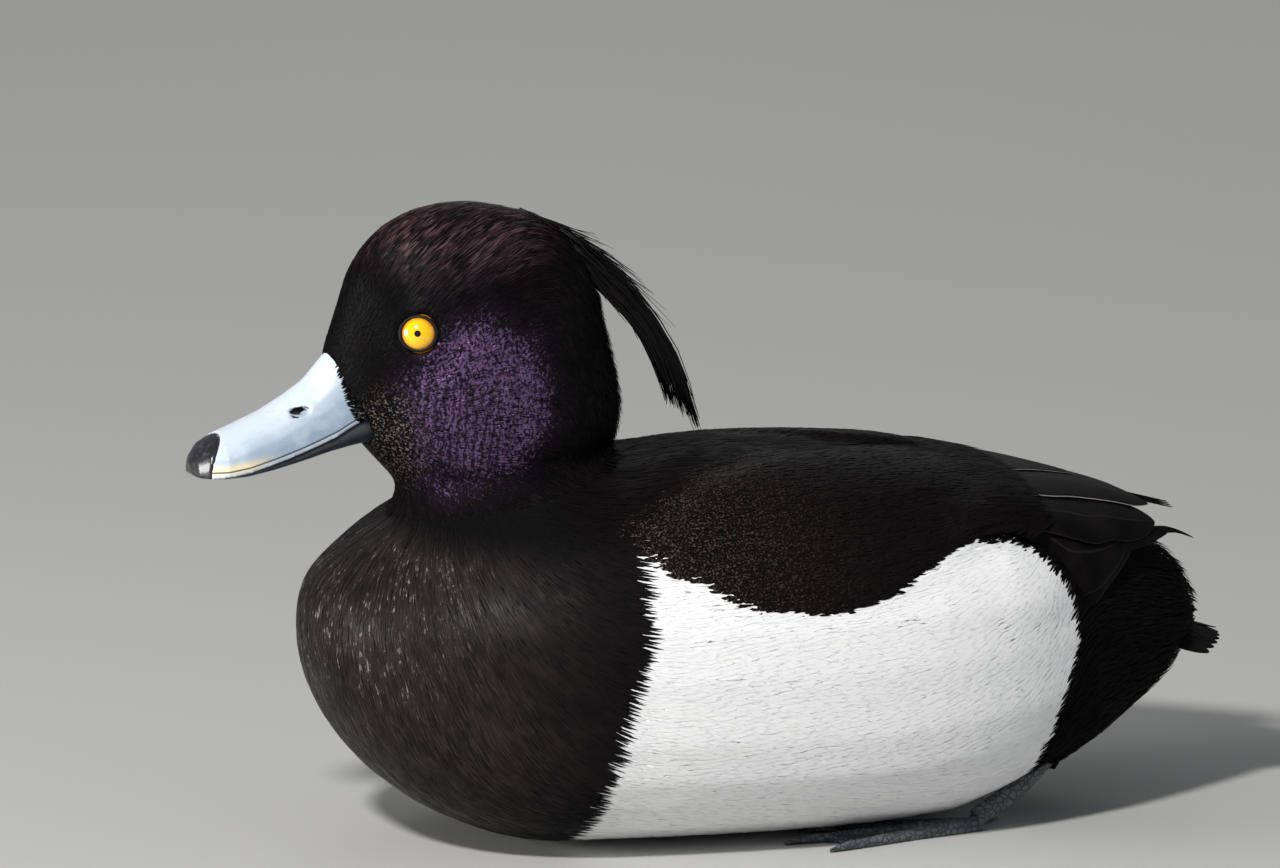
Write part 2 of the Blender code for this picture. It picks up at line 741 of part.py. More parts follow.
def rectrices():
    """The tail feathers, each tucked under its neighbour nearer the middle, and one of the middle pair on top."""
    feathers = []
    for i in range(RECTRICES):
        across = (2 * i + 1) / RECTRICES - 1
        side = LEFT if across < 0 else RIGHT
        middle = i in (RECTRICES // 2 - 1, RECTRICES // 2)
        stations = []
        for share, width in ROUND:
            point = tail_point(mix(0.02, 1, share), across)
            sideways = tail_point(share, across + 0.05 * side) - tail_point(share, across - 0.05 * side)
            raised = 0.5 * side if middle else 0
            tilt = 0 if middle else RECTRIX_TILT
            half = RECTRIX_HALF_WIDTH * width * mix(0.5, 1, share)
            stations.append((point - Vector((0, 0, raised)), half, sideways.normalized(), Vector((0, 0, 1)), tilt))
        feathers.append(vane(stations))
    return feathers


def tail_slot():
    """The room that the rump leaves for the tail feathers."""
    rows, columns = 6, 9
    top, bottom = [], []
    for i in range(rows):
        reach = mix(-GAP / TAIL_LENGTH, 1, i / (rows - 1))
        acrosses = [mix(-TAIL_ROOM, TAIL_ROOM, j / (columns - 1)) for j in range(columns)]
        depth = mix(1, TAIL_HALF_DEPTH, min(1, reach * 2)) + GAP
        top.append([tail_point(reach, a, depth) for a in acrosses])
        bottom.append([tail_point(reach, a, -depth) for a in acrosses])
    return slab("tail_slot", top, bottom)


def tube(name, points, radii, sides=8):
    """A round rod through points, on the mesh of a curve whose caps are welded."""
    curve = bpy.data.curves.new(name, "CURVE")
    curve.dimensions = "3D"
    curve.bevel_depth = MM
    curve.bevel_resolution = (sides - 4) // 2
    curve.use_fill_caps = True
    spline = curve.splines.new("POLY")
    spline.points.add(len(points) - 1)
    for point, spot, radius in zip(spline.points, points, radii):
        point.co = (*(Vector(spot) * MM), 1)
        point.radius = radius
    rod = bpy.data.objects.new(name, curve)
    bpy.context.scene.collection.objects.link(rod)
    bpy.context.view_layer.update()
    graph = bpy.context.evaluated_depsgraph_get()
    mesh = bpy.data.meshes.new_from_object(rod.evaluated_get(graph))
    work = bmesh.new()
    work.from_mesh(mesh)
    bmesh.ops.remove_doubles(work, verts=work.verts, dist=1e-6)
    for vert in work.verts:
        vert.co.z = max(vert.co.z, 0)
    bmesh.ops.recalc_face_normals(work, faces=work.faces)
    work.to_mesh(mesh)
    work.free()
    obj = bpy.data.objects.new(name, mesh)
    bpy.context.scene.collection.objects.link(obj)
    bpy.data.objects.remove(rod)
    return obj


def toe_path(side, angle, length):
    """Points from a toe's root to its claw tip, on the floor and pointing forward."""
    turn = math.radians(angle)
    reach = FOOT_LENGTH * length
    points, radii = [], []
    for share, height, radius in ((-0.04, 1.4, 1.0), (0.3, 1.3, 0.9), (0.6, 1.15, 0.8), (0.88, 1.0, 0.62), (1, 0.45, 0.3)):
        spot = (
            FOOT_X - reach * share * math.cos(turn),
            side * (FOOT_Y + reach * share * math.sin(turn)),
            height,
        )
        points.append(spot)
        radii.append(TOE_RADIUS * radius)
    return points, radii


def reach_out(points, lift):
    """The path made longer by the lift at both ends."""
    path = [Vector(p) for p in points]
    path[0] += (path[0] - path[1]).normalized() * lift
    path[-1] += (path[-1] - path[-2]).normalized() * lift
    return path


def web_form(side, lift=0.0):
    """The web between the toes, scalloped at its front edge."""
    steps = 13
    outline = []
    for i in range(steps):
        share = i / (steps - 1)
        angle = math.radians(mix(TOE_ANGLES[0] - lift * 2, TOE_ANGLES[-1] + lift * 2, share))
        scallop = 0.82 - 0.10 * abs(math.sin(share * math.tau)) * (1 - lift)
        length = along([(v,) for v in TOE_LENGTHS], share * 2)[0]
        reach = FOOT_LENGTH * length * scallop + lift
        outline.append((FOOT_X - reach * math.cos(angle), side * (FOOT_Y + reach * math.sin(angle))))
    heel = 2.2 + lift
    outline += [(FOOT_X + 1.5 + lift, side * (FOOT_Y + heel)), (FOOT_X + 1.5 + lift, side * (FOOT_Y - heel))]
    rings = [[(x, y, z) for x, y in outline] for z in (0, WEB_THICKNESS + lift)]
    return loft("web", rings)


def leg_form(side, lift=0.0):
    """One foot laid flat with its toes forward, its hind toe, and the tarsus that runs back up to the belly."""
    web = web_form(side, lift)
    rods = []
    for angle, length in zip(TOE_ANGLES, TOE_LENGTHS):
        points, radii = toe_path(side, angle, length)
        rods.append(tube("toe", reach_out(points, lift), [r + lift * 1.2 for r in radii]))
    shin = [(x, side * y, z) for x, y, z in TARSUS]
    rods.append(tube("tarsus", reach_out(shin, lift), [TARSUS_RADIUS + lift * 1.2] * len(shin)))
    hind = [(FOOT_X + x, side * (FOOT_Y - y), z) for x, y, z in HIND_TOE]
    rods.append(tube("hind_toe", reach_out(hind, lift), [r + lift * 1.2 for r in HIND_TOE_RADII]))
    combine(web, rods, "UNION")
    return web


def make_head(finish, lid_finish):
    head = head_form()
    head.data.materials.append(finish)
    combine(head, [lid_ring(LEFT), lid_ring(RIGHT)], "UNION")
    cutters = [neck_form(GAP), upper_bill_form(GAP), lower_bill_form(GAP), crest_seat(GAP), crest_room()]
    cutters += [ball("socket", eye_seat(side)[0], EYE_RADIUS + GAP) for side in (LEFT, RIGHT)]
    combine(head, cutters, "DIFFERENCE")


def make_eyes(finish):
    for side, name in ((LEFT, "eye_left"), (RIGHT, "eye_right")):
        eye = ball(name, eye_seat(side)[0], EYE_RADIUS)
        eye.data.materials.append(finish)


def make_bill(finish, nail_finish, lower_finish):
    upper = upper_bill_form()
    nail = upper_bill_form()
    nail.name = "bill_nail"
    nail_centre = (NAIL_X, 0, 98)
    combine(upper, [pillar("nail_room", nail_centre, (NAIL_HALF_LENGTH + GAP, NAIL_HALF_WIDTH + GAP), 30)], "DIFFERENCE")
    combine(nail, [pillar("nail_shape", nail_centre, (NAIL_HALF_LENGTH, NAIL_HALF_WIDTH), 30)], "INTERSECT")
    nostrils = []
    for side in (LEFT, RIGHT):
        centre = (NOSTRIL_X, side * 9, NOSTRIL_Z)
        nostrils.append(pillar("nostril", centre, (NOSTRIL_LENGTH / 2, NOSTRIL_HEIGHT / 2), 8, 14, "Y"))
    combine(upper, nostrils, "DIFFERENCE")
    lower = lower_bill_form()
    for obj, kind in ((upper, finish), (nail, nail_finish), (lower, lower_finish)):
        obj.data.materials.clear()
        obj.data.materials.append(kind)


def make_crest(finish):
    crest = crest_seat()
    crest.name = "crest"
    combine(crest, [crest_lock(i) for i in range(CREST_LOCKS)], "UNION")
    crest.data.materials.append(finish)


def make_body(black, white, brown, purple):
    body = body_form()
    cutters = [head_form(GAP), neck_form(GAP), tail_slot()]
    for side in (LEFT, RIGHT):
        bed = roof_slab(side, *ROOF_BED, 8, 12, 8)
        cutters += [shield_form(side, GAP), leg_form(side, GAP), bed]
    for cutter in cutters:
        combine(body, [cutter], "DIFFERENCE")
    part_of(body, "breast", [(BREAST_CUT, -1)], brown)
    part_of(body, "rump", [(STERN_CUT, 1)], black)
    middle = [(BREAST_CUT, 1), (STERN_CUT, -1)]
    part_of(body, "back", middle + [(BACK_CUT, 1)], brown)
    part_of(body, "torso", middle + [(BACK_CUT, -1)], white)
    bpy.data.objects.remove(body)
    neck = neck_form()
    neck.data.materials.append(purple)


def make_wings(finish):
    for side, name in ((LEFT, "wing_left"), (RIGHT, "wing_right")):
        wing = shield_form(side)
        wing.name = name
        core = roof_slab(side, *CORE, -0.4, 4, 7)
        feathers = [f for tier in (SCAPULARS, TERTIALS, SECONDARIES) for f in wing_tier(side, tier, BLUNT)]
        combine(wing, [core] + feathers + wing_tier(side, PRIMARIES, POINTED), "UNION")
        wing.data.materials.append(finish)


def make_tail(finish):
    feathers = rectrices()
    tail = feathers.pop(0)
    tail.name = "tail"
    combine(tail, feathers, "UNION")
    tail.data.materials.append(finish)


def make_legs(finish):
    for side, name in ((LEFT, "leg_left"), (RIGHT, "leg_right")):
        leg = leg_form(side)
        leg.name = name
        leg.data.materials.append(finish)


def gather(name):
    """Puts every finished piece in a collection of its own and shades it smooth."""
    bird = new_collection(name)
    for obj in list(bpy.data.objects):
        for collection in list(obj.users_collection):
            collection.objects.unlink(obj)
        bird.objects.link(obj)
        obj.data.shade_smooth()
        obj.data.set_sharp_from_angle(angle=math.radians(40))


def main():
    clear_scene()
    purple = material("glossy head feathers", GLOSSY_PURPLE, 0.4)
    black = material("black feathers", BLACK, 0.7)
    brown = material("brown black feathers", BROWN_BLACK, 0.6)
    white = material("white feathers", WHITE, 0.8)
    make_head(purple, black)
    make_eyes(material("eye", EYE_YELLOW, 0.1))
    make_bill(
        material("bill horn", BILL_BLUE, 0.4),
        material("nail", NAIL_BLACK, 0.35),
        material("lower bill", NAIL_BLACK, 0.45),
    )
    make_crest(purple)
    make_body(black, white, brown, purple)
    make_wings(brown)
    make_tail(black)
    make_legs(material("foot skin", LEG_GREY, 0.5))
    gather("tufted duck")


main()
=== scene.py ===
"""The looks of a male tufted duck: skin, plumage, eyes, bill, feet and studio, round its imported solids."""

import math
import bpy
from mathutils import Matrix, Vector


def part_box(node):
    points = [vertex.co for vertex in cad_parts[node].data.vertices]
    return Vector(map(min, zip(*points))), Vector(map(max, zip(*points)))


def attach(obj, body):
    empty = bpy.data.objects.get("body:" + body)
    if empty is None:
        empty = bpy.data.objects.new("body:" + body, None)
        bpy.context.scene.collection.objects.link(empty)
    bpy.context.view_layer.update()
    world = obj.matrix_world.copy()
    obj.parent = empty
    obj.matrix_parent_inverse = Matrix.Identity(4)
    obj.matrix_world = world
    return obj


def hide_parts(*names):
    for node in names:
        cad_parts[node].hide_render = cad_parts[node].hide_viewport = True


bl_info = {
    "name": "Tufted Duck",
    "version": (1, 0, 0),
    "blender": (4, 5, 0),
    "location": "View3D > Sidebar > Duck",
    "description": "Builds the skin, plumage, eyes, bill and feet of a life-size male tufted duck",
    "category": "Add Mesh",
}

import bmesh
import bpy
import numpy as np
from bpy.props import FloatProperty, FloatVectorProperty, IntProperty, PointerProperty
from mathutils import Matrix, Vector
from mathutils.bvhtree import BVHTree
from mathutils.kdtree import KDTree

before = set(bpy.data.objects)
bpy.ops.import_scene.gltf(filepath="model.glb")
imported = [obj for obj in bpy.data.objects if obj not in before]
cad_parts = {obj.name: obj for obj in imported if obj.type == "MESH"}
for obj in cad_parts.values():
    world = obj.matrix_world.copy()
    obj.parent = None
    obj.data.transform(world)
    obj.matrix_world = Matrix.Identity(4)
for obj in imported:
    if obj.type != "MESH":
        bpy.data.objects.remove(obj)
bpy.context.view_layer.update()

# Sizes below are in millimetres, as the bird's own are given, and MM makes them metres.
MM = 0.001
LEFT, RIGHT = -1, 1
FLESH = ("head", "neck", "breast", "back", "torso", "rump")

# Where feathers start: the root of the bill, the base of the neck and the root of the tail.
BILL_ROOT = (-112, 0, 108)
NECK_BASE = (-66, 0, 95)
TAIL_BASE = (120, 0, 42)
# The collar, where the head's feathers end, as x and z.
COLLAR = ((-110, 79), (-70, 85), (-50, 89), (-41, 93), (-36.5, 98), (-31, 104), (-24, 150))

# The white of the flank and belly: its upper edge as x and z, its front edge and its rear edge as z and x.
WHITE_TOP = (
    (-43, 79), (-40.7, 75.6), (-36.8, 71.6), (-27.9, 68.6), (-22.4, 64.8), (-14.8, 62.3), (0, 60.6),
    (9, 61.2), (18.5, 63.5), (25, 66.9), (36, 72.4), (44, 74.1), (53.6, 73.2), (62.3, 67.7), (68, 60.3),
    (70, 52),
)
WHITE_FRONT = ((0, -57), (20, -54), (37.6, -50.3), (49.8, -46.5), (57, -44.7), (66, -43.9), (79, -42.6))
WHITE_REAR = (
    (0, 57), (20, 62), (36, 66.5), (44.7, 69.5), (52.2, 70.2), (60.3, 68), (67.7, 62.3), (73, 53.6),
)
# The upper edge of the speckled shoulder patch, as x and z.
PATCH_TOP = ((-46.6, 80.7), (-33, 86.3), (-21, 90.3), (-10, 91.8), (2, 92.8), (60, 100))

# Where the face's feathers meet the bill, as z and x.
FEATHER_EDGE = (
    (98, -97.5), (100.6, -99), (103.4, -100.9), (105.7, -103.4), (108.3, -105.6), (111.2, -106.7),
    (114.6, -107.3), (117.6, -107.8), (122, -107.8),
)
EYE_RADIUS, EYE_OPENING = 5.6, 4.1
# The slot of the nostril: x and z of its middle, its turn, its depth, and half its length and height.
NOSTRIL, NOSTRIL_TURN, NOSTRIL_DEPTH = (-117.2, 108.6), 0.42, 0.6
NOSTRIL_HALF_LENGTH, NOSTRIL_HALF_HEIGHT = 2.3, 0.85
# The upper bill: x, height of its ridge and of its lower edge, and how much its root rises over the solid.
BILL_PROFILE = (
    (-98, 122, 107.6), (-104, 121, 104.8), (-108.5, 118.2, 102.4), (-113, 115.2, 100.6),
    (-118, 111.8, 98.8), (-124, 108.3, 97), (-131, 105.3, 95.2), (-136.2, 103.3, 94.3),
    (-143, 96.8, 93.7),
)
BILL_ROOT_RISE = 2.6

# The roof that the closed wings make over the stern: x, height of its ridge, and side and height of its
# lower edge.
ROOF = (
    (16, 92.5, 57, 69), (30, 91, 54.5, 71), (44, 88.5, 49.5, 73.5), (60, 85, 44, 71.5),
    (69, 83, 44, 64.5), (76, 81.2, 41.5, 59.5), (83, 79.2, 35.5, 60.5), (91, 76.7, 28, 62.5),
    (98, 74, 21.5, 64), (104, 71.4, 16, 64.5), (112, 67.4, 11, 61.5), (120, 62, 9, 57),
)
ROOF_ROUNDNESS = 0.9

# The feathers of a closed wing, from the lowest up, as rows of x, upper and lower edge round the roof, and
# how deep those two edges lie below it. Round the roof, 0 is the ridge and 1 the lower edge, and more than
# 1 hangs below it.
PRIMARY = (
    (76, 0.5, 0.66, 2.6), (88, 0.58, 0.72, 2), (97, 0.67, 0.79, 1.2), (104, 0.72, 0.84, 0.7),
    (110, 0.78, 0.86, 0.4),
)
PRIMARIES, PRIMARY_STEP, PRIMARY_TURN = 4, 3.4, 0.03
PANEL = (
    (46, 0.7, 1.0, 2.0, 3.4), (56, 0.66, 1.06, 1.4, 3.6), (63, 0.62, 1.14, 1.1, 3.4),
    (68, 0.58, 1.28, 1.0, 2.8), (72, 0.56, 1.25, 1.0, 2.0), (76, 0.55, 1.12, 1.0, 1.5),
    (80, 0.55, 1.05, 1.0, 1.3), (84, 0.58, 1.015, 1.0, 1.1), (88, 0.64, 0.95, 1.0, 1.0),
    (90.5, 0.72, 0.86, 1.0, 1.0),
)
OUTER_TERTIAL = (
    (44, 0.55, 0.9, 2.2, 2.2), (52.5, 0.5, 0.91, 1.2, 1.2), (61.5, 0.4, 0.88, 0.7, 0.6),
    (70, 0.32, 0.77, 0.7, 0.5), (80.5, 0.32, 0.73, 0.6, 0.4), (88, 0.36, 0.8, 0.5, 0.4),
    (93, 0.42, 0.82, 0.5, 0.4), (98.5, 0.52, 0.78, 0.5, 0.4),
)
MIDDLE_TERTIAL = (
    (46, 0.18, 0.55, 1.8, 1.8), (54, 0.1, 0.53, 0.9, 0.8), (62, 0.04, 0.5, 0.5, 0.2),
    (69, 0.0, 0.43, 0.4, 0.1), (76, 0.0, 0.38, 0.3, 0), (86, 0.0, 0.4, 0.3, 0),
    (93, 0.03, 0.44, 0.3, 0), (99.5, 0.2, 0.44, 0.3, 0.1),
)
INNER_TERTIAL = (
    (50, 0.0, 0.28, 1.2, 1.2), (58, 0.0, 0.25, 0.3, 0.2), (66, 0.0, 0.175, 0.0, -0.15),
    (74.5, 0.0, 0.11, 0.0, -0.15), (83, 0.0, 0.07, 0.0, -0.1),
)
ROOF_HANG = 40
LEFT_OVER_RIGHT = 0.22
# How deep the skin lies below the ridge where both shoulders meet.
RIDGE_DEPTH = 1.9
TAIL_ROOT_X, TAIL_LENGTH, TAIL_OUTER_SHARE = 90, 31, 0.7
TAIL_ROOT_HALF_WIDTH, TAIL_TIP_HALF_WIDTH = 7.5, 19
TAIL_ROOT_Z, TAIL_DROP, TAIL_ARCH = 47.5, 9.5, 2.4
RECTRICES, RECTRIX_HALF_WIDTH, RECTRIX_TILT = 14, 3.0, 0.2

# The crest in the middle plane: upper and lower edge as x and z, from the crown to the tip, and half its
# width.
CREST_UPPER = ((-57, 153), (-46.5, 147.2), (-36, 139.2), (-25.5, 127), (-17.5, 113.5), (-13.7, 100.4))
CREST_LOWER = ((-57.5, 150.2), (-47.5, 143.2), (-38.6, 132), (-29.6, 123), (-23.2, 111.6), (-19.8, 102))
CREST_HALF_WIDTHS = ((4.5,), (4.8,), (4.3,), (3.4,), (2.7,), (1.8,))

# The photograph's view: its direction and scale, and where the middle of the picture lies on the bird.
VIEW_AZIMUTH, VIEW_ELEVATION = math.radians(-20), math.radians(11)
PICTURE_WIDTH_MM, VIEW_DISTANCE = 309.8, 9.0
PICTURE_CENTRE_RIGHT, PICTURE_CENTRE_UP = -25.95, 59.05
PICTURE_BASE_HEIGHT = 34
SENSOR = 36
# The lights, in metres: where each stands, its size and its colour. Their powers are among the settings.
LIGHTS = {
    "key": ((-1.1, -1.1, 1.4), 0.22, (1.0, 0.985, 0.96)),
    "glint": ((-1.75, 0.15, 0.3), 0.7, (1.0, 0.98, 0.95)),
    "fill": ((1.3, -1.0, 0.6), 1.2, (0.9, 0.95, 1.0)),
    "rim": ((0.5, 1.3, 0.9), 0.8, (1.0, 1.0, 1.0)),
}
LIT_PLACE = (0, 0, 0.07)
FLOOR_SIZE, FLOOR_TINT = 12, 0.97
CLIP = 0.1, 100
SKY = (0.86, 0.89, 0.93)

# Soft spots of the markings, alike on both sides: the middle and half the size of each, in metres.
SPOTS = {
    "lores": ((-0.1, 0.01, 0.126), (0.013, 0.02, 0.024)),
    # Where the painted brown sheen lies on the brow and crown.
    "brow_sheen": ((-0.078, 0.004, 0.152), (0.027, 0.022, 0.015)),
    "cheek": ((-0.0765, 0.021, 0.111), (0.0215, 0.028, 0.0235)),
    "temple": ((-0.078, 0.021, 0.14), (0.016, 0.014, 0.009)),
    "under_cheek": ((-0.082, 0.018, 0.0955), (0.0125, 0.024, 0.0115)),
    "throat": ((-0.083, 0.02, 0.101), (0.017, 0.03, 0.019)),
    # Where the painted glints by the bill lie.
    "face": ((-0.0965, 0.011, 0.0985), (0.0095, 0.02, 0.0165)),
    "collar": ((-0.06, 0.0, 0.081), (0.045, 0.05, 0.0095)),
    # Where the painted shadow under the cheek lies.
    "painted_neck_shadow": ((-0.06, 0.01, 0.084), (0.036, 0.04, 0.014)),
    # Where the painted glints on the front of the breast lie.
    "chest": ((-0.098, 0.012, 0.058), (0.032, 0.036, 0.026)),
}


# Numbers and places

def mix(a, b, share):
    return a + (b - a) * share


def smoothstep(low, high, value):
    share = np.clip((value - low) / (high - low), 0, 1)
    return share * share * (3 - 2 * share)


def unit(vectors):
    return vectors / np.maximum(np.linalg.norm(vectors, axis=-1, keepdims=True), 1e-9)


def edge_at(edge, value):
    """The second number of an edge table where the first is value."""
    firsts, seconds = zip(*sorted(edge))
    return np.interp(value, firsts, seconds)


def along(rows, place):
    """The row at a place along rows, where 0 is the first, on a Catmull-Rom curve."""
    i = max(0, min(int(place), len(rows) - 2))
    f = place - i
    before = rows[i - 1] if i else [2 * a - b for a, b in zip(rows[0], rows[1])]
    after = rows[i + 2] if i + 2 < len(rows) else [2 * a - b for a, b in zip(rows[-1], rows[-2])]
    return [
        0.5 * (2 * b + (c - a) * f + (2 * a - 5 * b + 4 * c - d) * f**2 + (3 * b - a - 3 * c + d) * f**3)
        for a, b, c, d in zip(before, rows[i], rows[i + 1], after)
    ]


def place_of(rows, x):
    """The place along rows where their first value is x."""
    low, high = 0.0, len(rows) - 1.0
    for _ in range(26):
        middle = (low + high) / 2
        if along(rows, middle)[0] < x:
            low = middle
        else:
            high = middle
    return (low + high) / 2


# Objects and meshes

def select_only(obj):
    bpy.ops.object.select_all(action="DESELECT")
    obj.select_set(True)
    bpy.context.view_layer.objects.active = obj


def apply_modifier(obj, kind, **settings):
    select_only(obj)
    modifier = obj.modifiers.new(kind.title(), kind)
    for name, value in settings.items():
        setattr(modifier, name, value)
    bpy.ops.object.modifier_apply(modifier=modifier.name)


def node_copy(node):
    """A merged copy of a solid, which can be changed."""
    obj = bpy.data.objects.new(f"copy_{node}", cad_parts[node].data.copy())
    bpy.context.scene.collection.objects.link(obj)
    obj.data.materials.clear()
    select_only(obj)
    bpy.ops.object.mode_set(mode="EDIT")
    bpy.ops.mesh.select_all(action="SELECT")
    bpy.ops.mesh.remove_doubles(threshold=1e-5)
    bpy.ops.object.mode_set(mode="OBJECT")
    return obj


def cut_off(obj, point, normal):
    """Takes away the side of a plane that its normal points to, and closes the cut."""
    select_only(obj)
    bpy.ops.object.mode_set(mode="EDIT")
    bpy.ops.mesh.select_all(action="SELECT")
    bpy.ops.mesh.bisect(plane_co=[p * MM for p in point], plane_no=normal, use_fill=True, clear_outer=True)
    bpy.ops.object.mode_set(mode="OBJECT")


def keep_largest(obj):
    """Keeps the closed surface with the most points."""
    work = bmesh.new()
    work.from_mesh(obj.data)
    left, shells = set(work.verts), []
    while left:
        shell, edge = set(), [left.pop()]
        while edge:
            vert = edge.pop()
            shell.add(vert)
            for link in vert.link_edges:
                other = link.other_vert(vert)
                if other in left:
                    left.discard(other)
                    edge.append(other)
        shells.append(shell)
    largest = max(shells, key=len)
    bmesh.ops.delete(work, geom=[v for v in work.verts if v not in largest], context="VERTS")
    work.to_mesh(obj.data)
    work.free()


def fused(name, pieces, swell, voxel, smoothing):
    """Copies of solids grown into one fine, smooth, closed surface."""
    for piece in pieces:
        apply_modifier(piece, "DISPLACE", strength=swell * MM, mid_level=0)
    select_only(pieces[0])
    for piece in pieces:
        piece.select_set(True)
    if len(pieces) > 1:
        bpy.ops.object.join()
    obj = bpy.context.view_layer.objects.active
    apply_modifier(obj, "REMESH", mode="VOXEL", voxel_size=voxel * MM, adaptivity=0)
    keep_largest(obj)
    apply_modifier(obj, "SMOOTH", factor=0.5, iterations=smoothing)
    obj.name = obj.data.name = name
    obj.data.shade_smooth()
    return obj


def finished(obj, name, material, slot, *nodes):
    """Names a piece, gives it its finish and lets it ride in place of its solids."""
    obj.name = obj.data.name = name
    obj.data.materials.clear()
    obj.data.materials.append(material)
    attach(obj, "root")
    if nodes:
        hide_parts(*nodes)


def vertex_places(mesh):
    places = np.empty(len(mesh.vertices) * 3)
    mesh.vertices.foreach_get("co", places)
    return places.reshape(-1, 3) / MM


def vertex_normals(mesh):
    normals = np.empty(len(mesh.vertices) * 3)
    mesh.vertices.foreach_get("normal", normals)
    return normals.reshape(-1, 3)


def set_places(mesh, places):
    mesh.vertices.foreach_set("co", (places * MM).astype(np.float32).reshape(-1))
    mesh.update()


def set_values(mesh, name, values):
    """A number at each vertex, which the material reads."""
    mesh.attributes.new(name, "FLOAT", "POINT").data.foreach_set("value", values.astype(np.float32))


def turn_faces_out(mesh):
    work = bmesh.new()
    work.from_mesh(mesh)
    bmesh.ops.recalc_face_normals(work, faces=work.faces)
    work.to_mesh(mesh)
    work.free()


def mesh_of(name, points, faces, uvs):
    """An object of points in millimetres, UV maps and faces: one array, or one for each corner count."""
    mesh = bpy.data.meshes.new(name)
    groups = faces if isinstance(faces, list) else [faces]
    counts = np.concatenate([np.full(len(group), group.shape[1]) for group in groups])
    corners = np.concatenate([group.reshape(-1) for group in groups])
    mesh.vertices.add(len(points))
    mesh.vertices.foreach_set("co", (points * MM).astype(np.float32).reshape(-1))
    mesh.loops.add(len(corners))
    mesh.loops.foreach_set("vertex_index", corners.astype(np.int32))
    mesh.polygons.add(len(counts))
    mesh.polygons.foreach_set("loop_start", (np.cumsum(counts) - counts).astype(np.int32))
    mesh.polygons.foreach_set("use_smooth", np.ones(len(counts), bool))
    for uv_name, values in uvs.items():
        layer = mesh.uv_layers.new(name=uv_name, do_init=False)
        layer.data.foreach_set("uv", values[corners].astype(np.float32).reshape(-1))
    mesh.update(calc_edges=True)
    mesh.validate()
    obj = bpy.data.objects.new(name, mesh)
    bpy.context.scene.collection.objects.link(obj)
    return obj


# The bird's surface and the lie of its feathers

def is_white(points):
    x, z = points[:, 0], points[:, 2]
    return (x > edge_at(WHITE_FRONT, z)) & (x < edge_at(WHITE_REAR, z)) & (z < edge_at(WHITE_TOP, x))


def inside_white(points):
    """How far inside the edges of the white a place is, or less than 0 outside them."""
    x, z = points[:, 0], points[:, 2]
    gaps = (x - edge_at(WHITE_FRONT, z), edge_at(WHITE_REAR, z) - x, edge_at(WHITE_TOP, x) - z)
    return np.minimum.reduce(gaps)


def over_white(tips):
    """Whether the tip of a dark tuft lies over the white, other than by its ragged front edge."""
    return (inside_white(tips) > 0.3) & (tips[:, 0] - edge_at(WHITE_FRONT, tips[:, 2]) > 3)


def past_white(tips):
    """Whether the tip of a white tuft lies too far out over the black, other than by the shoulder."""
    return (inside_white(tips) < -0.6) & (tips[:, 0] > 4)


def is_head(points):
    return (points[:, 2] > edge_at(COLLAR, points[:, 0])) & (points[:, 0] < -24)


def is_patch(points):
    """The speckled shoulder patch over the folded wing."""
    x, z = points[:, 0], points[:, 2]
    below = z < edge_at(PATCH_TOP, x)
    return (x > -46) & (x < 60) & below & (np.abs(points[:, 1]) > 8) & (z > edge_at(WHITE_TOP, x))


def lie(points, normals):
    """The way that the feathers point, along the skin."""
    x, y, z = points.T
    fan = unit(points - BILL_ROOT)
    down_nape = np.stack([np.full_like(x, 0.35), 0 * x, np.full_like(x, -1)], 1)
    nape = smoothstep(-66, -44, x)[:, None]
    on_head = mix(fan, down_nape, nape)
    out_of_neck = unit(points - NECK_BASE)
    fore = (1 - smoothstep(-82, -30, x)) * smoothstep(-0.95, -0.1, normals[:, 2])
    rise = 0.3 * smoothstep(5, 45, x) * smoothstep(88, 66, z)
    rise += 0.7 * smoothstep(44, 70, x) * smoothstep(84, 70, z)
    back = np.stack([mix(0.55, 1, smoothstep(-90, -40, x)), 0.1 * np.sign(y) * (z > 70), rise], 1)
    on_body = back + out_of_neck * (1.8 * fore)[:, None]
    to_tail = unit(np.array(TAIL_BASE) - points) + np.array((0.35, 0, 0))
    stern = smoothstep(66, 84, x)[:, None]
    on_body = mix(on_body, to_tail, stern)
    head_share = smoothstep(-7, 4, z - edge_at(COLLAR, x))[:, None] * (x < -24)[:, None]
    way = mix(on_body, on_head, head_share)
    return flat_on(way, normals)


def flat_on(ways, normals):
    return unit(ways - normals * (ways * normals).sum(1, keepdims=True))


class Surface:
    """A skin that feathers are set on: its triangles and a tree to find the nearest place."""

    def __init__(self, obj):
        obj.data.calc_loop_triangles()
        self.places = vertex_places(obj.data)
        self.normals = vertex_normals(obj.data)
        triangles = np.empty(len(obj.data.loop_triangles) * 3, np.int32)
        obj.data.loop_triangles.foreach_get("vertices", triangles)
        self.triangles = triangles.reshape(-1, 3)
        a, b, c = (self.places[self.triangles[:, i]] for i in range(3))
        self.areas = np.linalg.norm(np.cross(b - a, c - a), axis=1) / 2
        self.middles = (a + b + c) / 3
        self.face_normals = unit(np.cross(b - a, c - a))
        self.tree = BVHTree.FromPolygons(self.places.tolist(), self.triangles.tolist())

    def sample(self, draw, count, chosen):
        """Random places on the chosen triangles, with their normals."""
        index = np.flatnonzero(chosen)
        shares = self.areas[index] / self.areas[index].sum()
        picked = index[draw.choice(len(index), count, p=shares)]
        u, v = draw.random(count), draw.random(count)
        over = u + v > 1
        u[over], v[over] = 1 - u[over], 1 - v[over]
        weights = np.stack([1 - u - v, u, v], 1)[:, :, None]
        corners = self.triangles[picked]
        return (self.places[corners] * weights).sum(1), unit((self.normals[corners] * weights).sum(1))

    def nearest(self, points):
        """The nearest places on the skin, with the smooth normals there."""
        found = [self.tree.find_nearest(Vector(p)) for p in points]
        places = np.array([hit[0] for hit in found])
        corners = self.triangles[[hit[2] for hit in found]]
        return places, unit(self.normals[corners].mean(1))


# How many places are tried for each root that is wanted, and how many stay for the choice by distance.
ROOT_TRIES, ROOT_CHOICE = 3, 2.2


